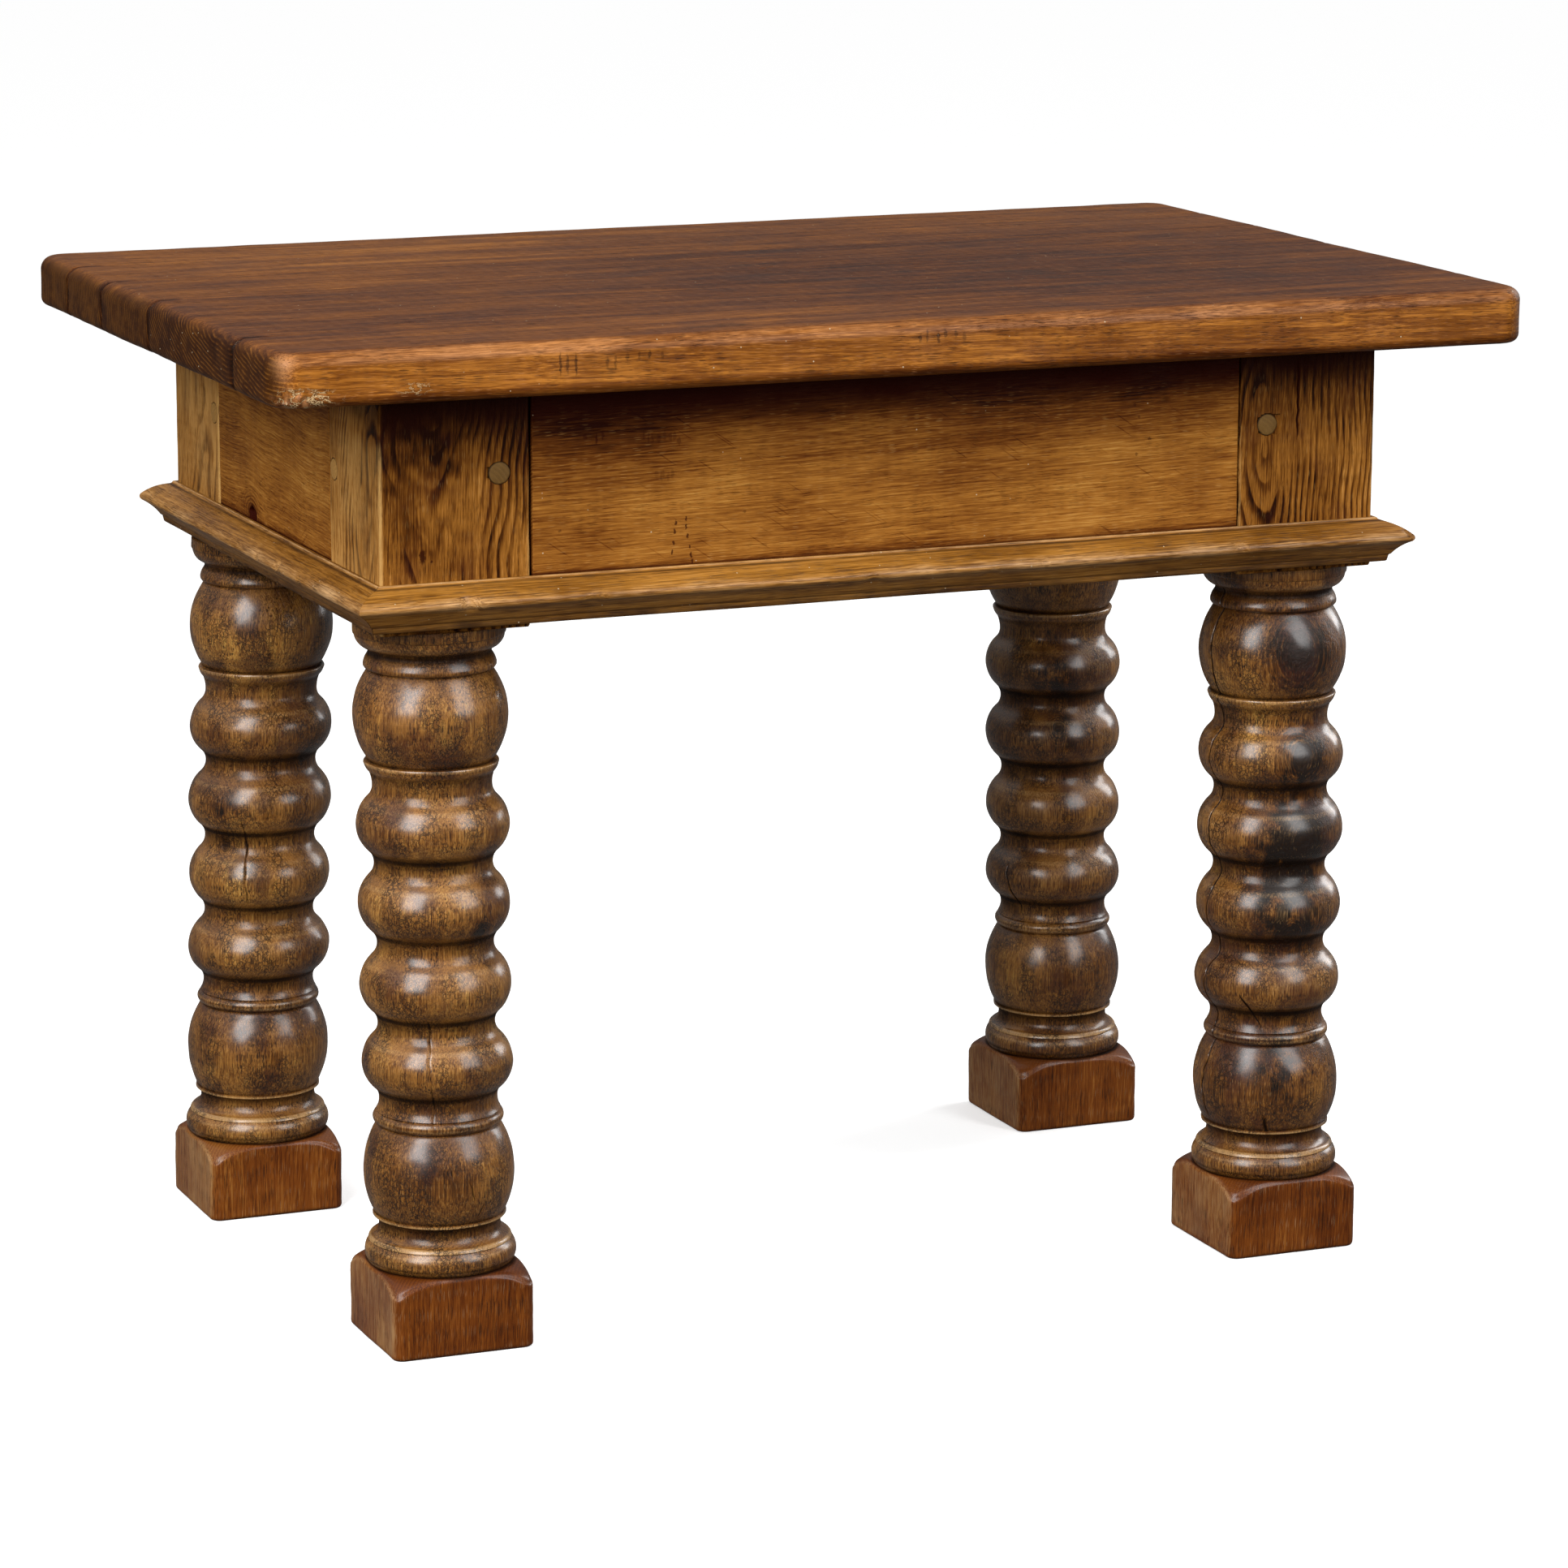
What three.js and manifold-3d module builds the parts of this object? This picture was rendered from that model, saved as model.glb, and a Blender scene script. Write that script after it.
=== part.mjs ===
// A small oak communion table: a thick five-board top on a joined frame of four rails, which are
// pegged into the square heads of four heavy bobbin-turned legs. A mitred moulding runs round the
// foot of the frame, and each leg stands on a separate square block.
//
// Millimetres, +Z up. The origin is on the floor under the middle of the top.
// +X runs along the table's length, and -Y is the front.

import * as THREE from "three";
import { mergeVertices } from "three/addons/utils/BufferGeometryUtils.js";
import Module from "manifold-3d";

const wasm = await Module();
wasm.setup();

// ---------------------------------------------------------------------------------------------
// Driving dimensions
// ---------------------------------------------------------------------------------------------

const HEIGHT = 760;
const TOP = { length: 992, depth: 630, thickness: 41, edgeRound: 9, cornerRound: 14 };
const FRAME = { length: 798, depth: 505, bottom: 547 };
const POST = { side: 114, bottom: 543.5 };
const RAIL_THICKNESS = 32;

// Where the four glued joints of the top run, from the front of the table to the back.
const BOARD_JOINTS = [-215, -1.5, 123, 220];

const TENON = { thickness: 12, setback: 10, length: 50, shoulder: 16 };
const PEG = { radius: 8.2, length: 44 };
const FACE_PEG = { inset: 23, height: 657 };
const SIDE_PEG = { inset: 10.5, height: 650 };

const MOULDING = {
  top: 581,
  bottom: 547.5,
  projection: 25,
  lip: { width: 3, height: 1 }, // the fillet against the frame at the top
  foot: { width: 9, height: 2 }, // and the one at the bottom
  nose: { drop: 12, height: 5, easing: 1 }, // the blunt outer edge
  slopeBend: { out: 15, drop: 4 }, // what the curve above the nose bends towards
  hollowBend: { out: 13, rise: 13.5 }, // and the curve below it
};

const FOOT = { side: 111, height: 60, cornerHeight: 45, edgeRound: 6 };
const SPIGOT = { radius: 19, length: 36 };
const ROOT = 2; // how far a turning runs up into its post

const BEARER = { x: 170, width: 60, depth: 34, housing: 12 };
const SCREW = { head: 5.5, shank: 3, length: 60, tip: 6 };
const SCREW_ROWS = [-160, -60, 61, 171];

// Old legs have worked a little loose: how far each turning is out of line with its post, where
// it leaves the post and where it meets the floor.
const LEGS = [
  { name: "front_left", sideX: -1, sideY: -1, start: [-1, 0], floor: [2, -5] },
  { name: "front_right", sideX: 1, sideY: -1, start: [4, 0], floor: [6, 0] },
  { name: "back_left", sideX: -1, sideY: 1, start: [-5, 0], floor: [-19, 0] },
  { name: "back_right", sideX: 1, sideY: 1, start: [0, 0], floor: [7, 0] },
];

const GAP = 0.3; // between pieces that touch
const OVERSHOOT = 5; // how far a cutting shape runs past the face it opens
const LATHE_SIDES = 16;
const DOME_SIDES = 24;
const PIN_SIDES = 12;
const SCREW_SIDES = 8;

const UNDERSIDE = HEIGHT - TOP.thickness;
const FRAME_TOP = UNDERSIDE - GAP;
const HALF_LENGTH = FRAME.length / 2;
const HALF_DEPTH = FRAME.depth / 2;

// ---------------------------------------------------------------------------------------------
// Solids
// ---------------------------------------------------------------------------------------------

// A closed three.js geometry as a solid that can be joined and cut.
function toSolid(geometry) {
  const bare = geometry.clone();
  bare.deleteAttribute("normal");
  bare.deleteAttribute("uv");
  const merged = mergeVertices(bare, 1e-4);
  const index = merged.index.array;
  const triangles = [];
  for (let i = 0; i < index.length; i += 3) {
    const [a, b, c] = [index[i], index[i + 1], index[i + 2]];
    if (a !== b && b !== c && c !== a) {
      triangles.push(a, b, c);
    }
  }
  return new wasm.Manifold(new wasm.Mesh({
    numProp: 3,
    vertProperties: new Float32Array(merged.attributes.position.array),
    triVerts: new Uint32Array(triangles),
  }));
}

function toGeometry(solid) {
  const mesh = solid.getMesh();
  const geometry = new THREE.BufferGeometry();
  geometry.setAttribute("position", new THREE.BufferAttribute(mesh.vertProperties, 3));
  geometry.setIndex(new THREE.BufferAttribute(mesh.triVerts, 1));
  geometry.computeVertexNormals();
  return geometry;
}

// A box between two opposite corners, given in any order.
function box(from, to) {
  const size = from.map((value, axis) => Math.abs(to[axis] - value));
  const middle = from.map((value, axis) => (to[axis] + value) / 2);
  return toSolid(new THREE.BoxGeometry(...size).translate(...middle));
}

// A solid turned about the vertical axis from an outline of [radius, height] points, top first.
function turned(outline, sides) {
  const upward = outline.map(([radius, height]) => new THREE.Vector2(radius, height)).reverse();
  return new THREE.LatheGeometry(upward, sides).rotateX(Math.PI / 2);
}

// A round bar that starts at a point and runs along a horizontal direction.
function bar(start, direction, length, radius) {
  const geometry = new THREE.CylinderGeometry(radius, radius, length, PIN_SIDES);
  const along = new THREE.Vector3(...direction);
  const middle = new THREE.Vector3(...start).addScaledVector(along, length / 2);
  geometry.applyQuaternion(
    new THREE.Quaternion().setFromUnitVectors(new THREE.Vector3(0, 1, 0), along),
  );
  return geometry.translate(middle.x, middle.y, middle.z);
}

// ---------------------------------------------------------------------------------------------
// Turned outlines
// ---------------------------------------------------------------------------------------------

// An outline drawn downwards, in straight lines and arcs of circles.
class Outline {
  constructor(radius, height) {
    this.points = [[radius, height]];
  }

  to(radius, height) {
    this.points.push([radius, height]);
    return this;
  }

  // An arc to the next point. A positive bend swells outwards, and a negative one is hollow.
  bend(radius, height, bend, steps) {
    const [r0, z0] = this.points.at(-1);
    const chord = Math.hypot(radius - r0, height - z0);
    const half = Math.asin(chord / 2 / Math.abs(bend));
    const rise = Math.abs(bend) * Math.cos(half);
    const normal = [(z0 - height) / chord, (radius - r0) / chord];
    const side = Math.sign(bend);
    const centre = [
      (r0 + radius) / 2 - side * rise * normal[0],
      (z0 + height) / 2 - side * rise * normal[1],
    ];
    const start = Math.atan2(z0 - centre[1], r0 - centre[0]);
    for (let step = 1; step <= steps; step += 1) {
      const angle = start - side * 2 * half * (step / steps);
      this.to(
        centre[0] + Math.abs(bend) * Math.cos(angle),
        centre[1] + Math.abs(bend) * Math.sin(angle),
      );
    }
    return this;
  }

  // From a crest to a hollow, or the reverse: two arcs that meet without a corner. The crest
  // has the larger share of the height.
  wave(radius, height) {
    const crestShare = 0.665;
    const [r0, z0] = this.points.at(-1);
    const falling = radius < r0;
    const share = falling ? crestShare : 1 - crestShare;
    const radii = ((height - z0) ** 2 + (radius - r0) ** 2) / (2 * Math.abs(radius - r0));
    const meet = [r0 + share * (radius - r0), z0 + share * (height - z0)];
    const side = falling ? 1 : -1;
    this.bend(meet[0], meet[1], side * radii * share, falling ? 2 : 1);
    return this.bend(radius, height, -side * radii * (1 - share), falling ? 1 : 2);
  }
}

// The turned part of a leg, from inside its post down to the spigot that enters the foot block.
function legOutline() {
  const line = new Outline(0, POST.bottom + ROOT);
  line.to(56, POST.bottom + ROOT).to(56, 534.5);
  line.bend(46.5, 523.8, 11, 2).to(45.4, 520);
  line.to(48.6, 513).to(46, 508);
  line.to(47, 506.5).bend(47, 441.5, 58, 5).to(46.2, 440.4);
  line.to(49.5, 439).to(49.5, 432).bend(44, 421, -16, 2);
  line.wave(56.3, 392).wave(43.6, 363.3).wave(56.4, 332.5).wave(43.4, 302.5);
  line.wave(56.2, 271.8).wave(43.4, 242).wave(56.2, 212).wave(43.8, 185);
  line.bend(47, 175, -16, 1).to(48.4, 171).to(46.2, 166);
  line.to(47.2, 164.5).bend(48.6, 98.8, 68, 5).to(47.6, 92.5);
  line.to(45.3, 90.5).bend(49.5, 81, -9, 2);
  line.bend(54.2, FOOT.height + GAP, 14.5, 4);
  line.to(SPIGOT.radius, FOOT.height + GAP);
  line.to(SPIGOT.radius, FOOT.height - SPIGOT.length);
  line.to(0, FOOT.height - SPIGOT.length);
  return line.points;
}

// How far a leg's axis has moved from under its post, at a height above the floor.
function lean(leg, height) {
  const upright = Math.max(height, FOOT.height);
  const share = (POST.bottom - Math.min(upright, POST.bottom)) / POST.bottom;
  return leg.start.map((start, axis) => start + (leg.floor[axis] - start) * share);
}

function leanGeometry(geometry, leg) {
  const position = geometry.attributes.position;
  for (let i = 0; i < position.count; i += 1) {
    const [x, y] = lean(leg, position.getZ(i));
    position.setXY(i, position.getX(i) + x, position.getY(i) + y);
  }
  return geometry;
}

// ---------------------------------------------------------------------------------------------
// Joinery
// ---------------------------------------------------------------------------------------------

// The middle of a leg's post, in plan.
function postCentre(leg) {
  return [
    leg.sideX * (HALF_LENGTH - POST.side / 2),
    leg.sideY * (HALF_DEPTH - POST.side / 2),
  ];
}

// The tenon that a rail along X drives into a post, or the hole for it where clearance is set.
function faceTenon(sideX, sideY, clearance) {
  const shoulder = HALF_LENGTH - POST.side;
  const face = HALF_DEPTH - TENON.setback;
  return box(
    [sideX * (shoulder - OVERSHOOT), sideY * (face + clearance), FRAME.bottom + TENON.shoulder - clearance],
    [
      sideX * (shoulder + TENON.length + clearance),
      sideY * (face - TENON.thickness - clearance),
      FRAME_TOP - TENON.shoulder + clearance,
    ],
  );
}

// The same for a rail along Y.
function sideTenon(sideX, sideY, clearance) {
  const shoulder = HALF_DEPTH - POST.side;
  const face = HALF_LENGTH - TENON.setback;
  return box(
    [sideX * (face + clearance), sideY * (shoulder - OVERSHOOT), FRAME.bottom + TENON.shoulder - clearance],
    [
      sideX * (face - TENON.thickness - clearance),
      sideY * (shoulder + TENON.length + clearance),
      FRAME_TOP - TENON.shoulder + clearance,
    ],
  );
}

// The peg through a front or back joint, flush with the face of the post. A clearance makes the
// hole for it, which runs out past the face.
function facePeg(sideX, sideY, clearance) {
  const x = sideX * (HALF_LENGTH - POST.side + FACE_PEG.inset);
  const out = clearance > 0 ? OVERSHOOT : 0;
  const start = [x, sideY * (HALF_DEPTH + out), FACE_PEG.height];
  return bar(start, [0, -sideY, 0], PEG.length + out + clearance, PEG.radius + clearance);
}

// The peg through a joint at an end of the table.
function sidePeg(sideX, sideY, clearance) {
  const y = sideY * (HALF_DEPTH - POST.side + SIDE_PEG.inset);
  const out = clearance > 0 ? OVERSHOOT : 0;
  const start = [sideX * (HALF_LENGTH + out), y, SIDE_PEG.height];
  return bar(start, [-sideX, 0, 0], PEG.length + out + clearance, PEG.radius + clearance);
}

// ---------------------------------------------------------------------------------------------
// Sub-parts
// ---------------------------------------------------------------------------------------------

// The whole top before it is divided: a slab with rounded corners and edges.
function topSlab() {
  const x = TOP.length / 2 - TOP.edgeRound;
  const y = TOP.depth / 2 - TOP.edgeRound;
  const corner = TOP.cornerRound;
  const plan = new THREE.Shape();
  plan.absarc(x - corner, y - corner, corner, 0, Math.PI / 2);
  plan.absarc(corner - x, y - corner, corner, Math.PI / 2, Math.PI);
  plan.absarc(corner - x, corner - y, corner, Math.PI, Math.PI * 1.5);
  plan.absarc(x - corner, corner - y, corner, Math.PI * 1.5, Math.PI * 2);
  const slab = new THREE.ExtrudeGeometry(plan, {
    depth: TOP.thickness - 2 * TOP.edgeRound,
    bevelSize: TOP.edgeRound,
    bevelThickness: TOP.edgeRound,
    bevelSegments: 3,
    curveSegments: 3,
  });
  return toSolid(slab.translate(0, 0, UNDERSIDE + TOP.edgeRound));
}

// One board of the top, with the pilot holes of the screws that reach it.
function topBoard(slab, front, back) {
  const reach = TOP.length;
  let board = slab.intersect(box(
    [-reach, front + GAP / 2, 0],
    [reach, back - GAP / 2, HEIGHT + OVERSHOOT],
  ));
  for (const y of SCREW_ROWS.filter((row) => row > front && row < back)) {
    for (const sideX of [-1, 1]) {
      board = board.subtract(screwHole(sideX, y));
    }
  }
  return toGeometry(board);
}

// A leg: the square post at the head and the turning below it, cut from one piece of oak.
function leg(spec) {
  const [x, y] = postCentre(spec);
  const half = POST.side / 2;
  const post = box([x - half, y - half, POST.bottom], [x + half, y + half, FRAME_TOP]);
  const turning = leanGeometry(turned(legOutline(), LATHE_SIDES), spec).translate(x, y, 0);
  const joints = [
    faceTenon(spec.sideX, spec.sideY, GAP),
    sideTenon(spec.sideX, spec.sideY, GAP),
    toSolid(facePeg(spec.sideX, spec.sideY, GAP)),
    toSolid(sidePeg(spec.sideX, spec.sideY, GAP)),
  ];
  return toGeometry(joints.reduce((piece, joint) => piece.subtract(joint), post.add(toSolid(turning))));
}

// A foot: a block whose top corners are turned away, bored for the leg's spigot.
function foot(spec) {
  const half = FOOT.side / 2 - FOOT.edgeRound;
  const plan = new THREE.Shape();
  plan.absarc(half, half, FOOT.edgeRound, 0, Math.PI / 2);
  plan.absarc(-half, half, FOOT.edgeRound, Math.PI / 2, Math.PI);
  plan.absarc(-half, -half, FOOT.edgeRound, Math.PI, Math.PI * 1.5);
  plan.absarc(half, -half, FOOT.edgeRound, Math.PI * 1.5, Math.PI * 2);
  const block = new THREE.ExtrudeGeometry(plan, {
    depth: FOOT.height,
    bevelEnabled: false,
    curveSegments: 2,
  });
  const corner = FOOT.side * Math.SQRT1_2;
  const dome = new Outline(0, FOOT.height).to(FOOT.side / 2, FOOT.height);
  dome.bend(corner, FOOT.cornerHeight, corner, 2).to(corner, 0).to(0, 0);
  const bore = new THREE.CylinderGeometry(
    SPIGOT.radius + GAP,
    SPIGOT.radius + GAP,
    SPIGOT.length + GAP + OVERSHOOT,
    LATHE_SIDES,
  );
  const boreMiddle = FOOT.height - (SPIGOT.length + GAP - OVERSHOOT) / 2;
  bore.rotateX(Math.PI / 2).translate(0, 0, boreMiddle);
  const piece = toSolid(block).intersect(toSolid(turned(dome.points, DOME_SIDES)));
  const [x, y] = postCentre(spec);
  const [leanX, leanY] = lean(spec, 0);
  return toGeometry(piece.subtract(toSolid(bore))).translate(x + leanX, y + leanY, 0);
}

// A front or back rail, with its tenons and the housings for the two bearers.
function faceRail(sideY) {
  const shoulder = HALF_LENGTH - POST.side - GAP;
  const inside = HALF_DEPTH - RAIL_THICKNESS;
  let rail = box(
    [-shoulder, sideY * inside, FRAME.bottom],
    [shoulder, sideY * HALF_DEPTH, FRAME_TOP],
  );
  for (const sideX of [-1, 1]) {
    rail = rail.add(faceTenon(sideX, sideY, 0));
    rail = rail.subtract(toSolid(facePeg(sideX, sideY, GAP)));
    rail = rail.subtract(bearerBlock(sideX, GAP));
  }
  return toGeometry(rail);
}

// A rail at an end of the table, with its tenons.
function sideRail(sideX) {
  const shoulder = HALF_DEPTH - POST.side - GAP;
  const inside = HALF_LENGTH - RAIL_THICKNESS;
  let rail = box(
    [sideX * inside, -shoulder, FRAME.bottom],
    [sideX * HALF_LENGTH, shoulder, FRAME_TOP],
  );
  for (const sideY of [-1, 1]) {
    rail = rail.add(sideTenon(sideX, sideY, 0));
    rail = rail.subtract(toSolid(sidePeg(sideX, sideY, GAP)));
  }
  return toGeometry(rail);
}

// The section of the moulding: how far it stands out from the frame, and the height.
function mouldingSection() {
  const { top, bottom, projection, lip, foot, nose, slopeBend, hollowBend } = MOULDING;
  const noseTop = top - nose.drop;
  const noseFoot = noseTop - nose.height;
  const section = new THREE.Shape();
  section.moveTo(GAP, bottom);
  section.lineTo(foot.width, bottom);
  section.lineTo(foot.width, bottom + foot.height);
  section.quadraticCurveTo(
    hollowBend.out, bottom + hollowBend.rise, projection - nose.easing, noseFoot,
  );
  section.lineTo(projection, noseFoot + nose.easing);
  section.lineTo(projection, noseTop - nose.easing);
  section.quadraticCurveTo(slopeBend.out, top - slopeBend.drop, lip.width, top - lip.height);
  section.lineTo(lip.width, top);
  section.lineTo(GAP, top);
  section.closePath();
  return section;
}

// One length of the moulding with mitred ends: each end reaches out as far as the section does.
function moulding(halfSpan, distance) {
  const geometry = new THREE.ExtrudeGeometry(mouldingSection(), {
    depth: 1,
    bevelEnabled: false,
    curveSegments: 3,
  });
  const position = geometry.attributes.position;
  const mitreGap = GAP * Math.SQRT1_2; // half the gap, measured along the length
  for (let i = 0; i < position.count; i += 1) {
    const out = position.getX(i);
    const height = position.getY(i);
    const end = 1 - 2 * position.getZ(i);
    position.setXYZ(i, end * (halfSpan + out - mitreGap), -(distance + out), height);
  }
  return toGeometry(toSolid(geometry));
}

// A bearer under the top, housed in the front and back rails. A clearance makes the housings.
function bearerBlock(sideX, clearance) {
  const end = HALF_DEPTH - RAIL_THICKNESS + BEARER.housing + clearance;
  const half = BEARER.width / 2 + clearance;
  const x = sideX * BEARER.x;
  const head = clearance > 0 ? FRAME_TOP + OVERSHOOT : FRAME_TOP;
  return box([x - half, -end, FRAME_TOP - BEARER.depth - clearance], [x + half, end, head]);
}

function bearer(sideX) {
  return toGeometry(SCREW_ROWS.reduce(
    (piece, y) => piece.subtract(screwHole(sideX, y)),
    bearerBlock(sideX, 0),
  ));
}

// A countersunk wood screw driven up through a bearer. A clearance makes its hole.
function screw(sideX, y, clearance) {
  const head = FRAME_TOP - BEARER.depth;
  const mouth = clearance > 0 ? head - OVERSHOOT : head;
  const wide = SCREW.head + clearance;
  const narrow = SCREW.shank + clearance;
  const tip = head + SCREW.length + clearance;
  const line = new Outline(0, tip).to(narrow, tip - SCREW.tip);
  line.to(narrow, head + SCREW.head - SCREW.shank).to(wide, head);
  if (mouth < head) {
    line.to(wide, mouth);
  }
  line.to(0, mouth);
  return turned(line.points, SCREW_SIDES).translate(sideX * BEARER.x, y, 0);
}

function screwHole(sideX, y) {
  return toSolid(screw(sideX, y, GAP));
}

// ---------------------------------------------------------------------------------------------
// Materials
// ---------------------------------------------------------------------------------------------

function wood(color, roughness) {
  return () => new THREE.MeshStandardMaterial({ color, roughness, metalness: 0 });
}

const topOak = wood(0x6b3a1e, 0.38);
const frameOak = wood(0x9a6a35, 0.5);
const legOak = wood(0x7d5a33, 0.45);
const footOak = wood(0x7a3f20, 0.45);
const pegOak = wood(0x8c6a3a, 0.55);
const bearerOak = wood(0x86623a, 0.7);
const steel = () => new THREE.MeshStandardMaterial({ color: 0x6f6a64, roughness: 0.45, metalness: 0.9 });

// ---------------------------------------------------------------------------------------------
// Assembly
// ---------------------------------------------------------------------------------------------

const table = new THREE.Group();
table.name = "communion_table";

function place(name, geometry, material) {
  const mesh = new THREE.Mesh(geometry, material());
  mesh.name = name;
  table.add(mesh);
  return mesh;
}

const slab = topSlab();
const edges = [-TOP.depth, ...BOARD_JOINTS, TOP.depth];
for (let i = 0; i + 1 < edges.length; i += 1) {
  place(`top_board_${i + 1}`, topBoard(slab, edges[i], edges[i + 1]), topOak);
}

for (const spec of LEGS) {
  place(`leg_${spec.name}`, leg(spec), legOak);
  place(`foot_${spec.name}`, foot(spec), footOak);
  place(`peg_face_${spec.name}`, facePeg(spec.sideX, spec.sideY, 0), pegOak);
  place(`peg_side_${spec.name}`, sidePeg(spec.sideX, spec.sideY, 0), pegOak);
}

place("rail_front", faceRail(-1), frameOak);
place("rail_back", faceRail(1), frameOak);
place("rail_left", sideRail(-1), frameOak);
place("rail_right", sideRail(1), frameOak);

// The four lengths of moulding are drawn along the front and turned round to their own sides.
const sides = ["front", "right", "back", "left"];
sides.forEach((name, quarter) => {
  const lengthwise = quarter % 2 === 0;
  const geometry = lengthwise
    ? moulding(HALF_LENGTH, HALF_DEPTH)
    : moulding(HALF_DEPTH, HALF_LENGTH);
  place(`moulding_${name}`, geometry, frameOak).rotation.z = quarter * Math.PI / 2;
});

for (const [name, sideX] of [["left", -1], ["right", 1]]) {
  place(`bearer_${name}`, bearer(sideX), bearerOak);
  SCREW_ROWS.forEach((y, row) => {
    place(`screw_${name}_${row + 1}`, screw(sideX, y, 0), steel);
  });
}

export default table;
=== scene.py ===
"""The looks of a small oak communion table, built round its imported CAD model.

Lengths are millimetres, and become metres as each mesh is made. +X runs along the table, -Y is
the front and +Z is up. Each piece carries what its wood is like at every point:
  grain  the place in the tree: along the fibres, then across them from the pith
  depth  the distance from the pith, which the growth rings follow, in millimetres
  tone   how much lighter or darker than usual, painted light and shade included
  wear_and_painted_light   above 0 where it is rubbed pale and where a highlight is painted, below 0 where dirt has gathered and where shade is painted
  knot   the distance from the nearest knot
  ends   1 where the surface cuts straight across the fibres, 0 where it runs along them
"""

import math
from functools import reduce

import bpy
import numpy as np
from mathutils import Matrix, Vector


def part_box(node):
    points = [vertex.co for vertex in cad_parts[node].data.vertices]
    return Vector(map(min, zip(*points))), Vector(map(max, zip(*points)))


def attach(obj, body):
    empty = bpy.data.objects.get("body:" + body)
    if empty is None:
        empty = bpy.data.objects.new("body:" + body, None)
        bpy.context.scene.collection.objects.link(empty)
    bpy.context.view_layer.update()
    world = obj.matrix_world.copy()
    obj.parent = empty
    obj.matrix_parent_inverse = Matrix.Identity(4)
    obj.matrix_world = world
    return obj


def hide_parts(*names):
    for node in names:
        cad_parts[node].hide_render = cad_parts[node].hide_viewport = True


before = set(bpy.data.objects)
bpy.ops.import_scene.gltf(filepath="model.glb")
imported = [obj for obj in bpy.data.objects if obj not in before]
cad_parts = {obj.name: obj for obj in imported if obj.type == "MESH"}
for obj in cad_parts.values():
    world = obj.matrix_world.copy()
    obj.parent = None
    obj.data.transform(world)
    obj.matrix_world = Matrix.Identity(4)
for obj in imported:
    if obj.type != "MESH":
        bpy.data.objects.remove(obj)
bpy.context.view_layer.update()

MM = 0.001
NO_KNOT = 99.0

POST_SIDE = 114
POST_FOOT = 543.5  # height of the underside of the posts
PEG_HOLE = 8.6  # radius
PEG_HOLE_DEPTH = 3.0
RAIL_THICK = 32
MOULDING_TOP = 581
FOOT_RING = 96.6  # height of the pale ring at the foot of each turning
FOOT_CORNER = 9.0
FOOT_FALL = 15  # how far a foot block's top corners are turned down
SLAB_CORNER = 23
EDGE_ABOVE = 11  # rounding of the top's upper edge
EDGE_BELOW = 7
BOARDS = 5

# How far each turning has slipped from the middle of its post, along X and Y.
TURNING_START = {
    "front_left": (-1, 0),
    "front_right": (4, 0),
    "back_left": (-5, 0),
    "back_right": (0, 0),
}

CAMERA_PLACE = (-1666.65, -4044.91, 1304.56)
CAMERA_TURN = (21.203, 12.205, -0.1186)  # degrees: to the right, down, and rolled
CAMERA_LENS = 130.43
CAMERA_SHIFT = (0.0877, -0.0041)


# ---------------------------------------- fields and grids


def span(node):
    """A CAD node's lowest and highest corners, in millimetres."""
    low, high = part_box(node)
    return np.array(low) / MM, np.array(high) / MM


def ease(value, low, high):
    """A smooth step from 0 at low to 1 at high."""
    share = np.clip((value - low) / (high - low), 0, 1)
    return share * share * (3 - 2 * share)


def waves(points, length, seed, count=10):
    """A smooth random field, mostly from -1 to 1, whose swells are about one length long."""
    source = np.random.default_rng(seed)
    total = np.zeros(len(points))
    for _ in range(count):
        direction = source.normal(size=points.shape[1])
        direction /= np.linalg.norm(direction)
        size = length * source.uniform(0.7, 1.6)
        total += np.sin(points @ direction * math.tau / size + source.uniform(0, math.tau))
    return total / math.sqrt(2 * count)


def spots(points, marks):
    """The sum of soft round marks, each given as its centre, radius and strength."""
    total = np.zeros(len(points))
    for centre, radius, strength in marks:
        away = ((points - np.array(centre)) ** 2).sum(1)
        total += strength * np.exp(-away / (2 * radius**2))
    return total


def graded(low, high, step, reach, fine):
    """Positions from low to high, a step apart, and a fine step within reach of each end."""
    count = max(2, round((high - low - 2 * reach) / step) + 1)
    middle = np.linspace(low + reach, high - reach, count)
    near = np.linspace(0, reach, round(reach / fine) + 1)[:-1]
    return np.concatenate([low + near, middle, (high - near)[::-1]])


def finer(lines, centre, reach, step):
    """The same positions with closer ones put in around a centre."""
    kept = lines[np.abs(lines - centre) > reach + step / 2]
    extra = np.arange(centre - reach, centre + reach + step / 2, step)
    extra = extra[(extra > lines[0]) & (extra < lines[-1])]
    return np.sort(np.concatenate([kept, extra]))


def box_grid(x, y, z):
    """The six sides of a box as one closed grid of points and outward faces."""
    shell = np.zeros((len(x), len(y), len(z)), bool)
    sides = [(axis, end) for axis in range(3) for end in (0, -1)]
    for axis, end in sides:
        np.moveaxis(shell, axis, 0)[end] = True
    index = np.full(shell.shape, -1)
    index[shell] = np.arange(shell.sum())
    i, j, k = np.nonzero(shell)
    faces = []
    for axis, end in sides:
        layer = index.take(end, axis=axis)
        corners = [layer[:-1, :-1], layer[1:, :-1], layer[1:, 1:], layer[:-1, 1:]]
        quads = np.stack(corners, axis=-1).reshape(-1, 4)
        outward = (end == -1) != (axis == 1)
        faces.append(quads if outward else quads[:, ::-1])
    return np.column_stack([x[i], y[j], z[k]]), np.vstack(faces).tolist()


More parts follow.
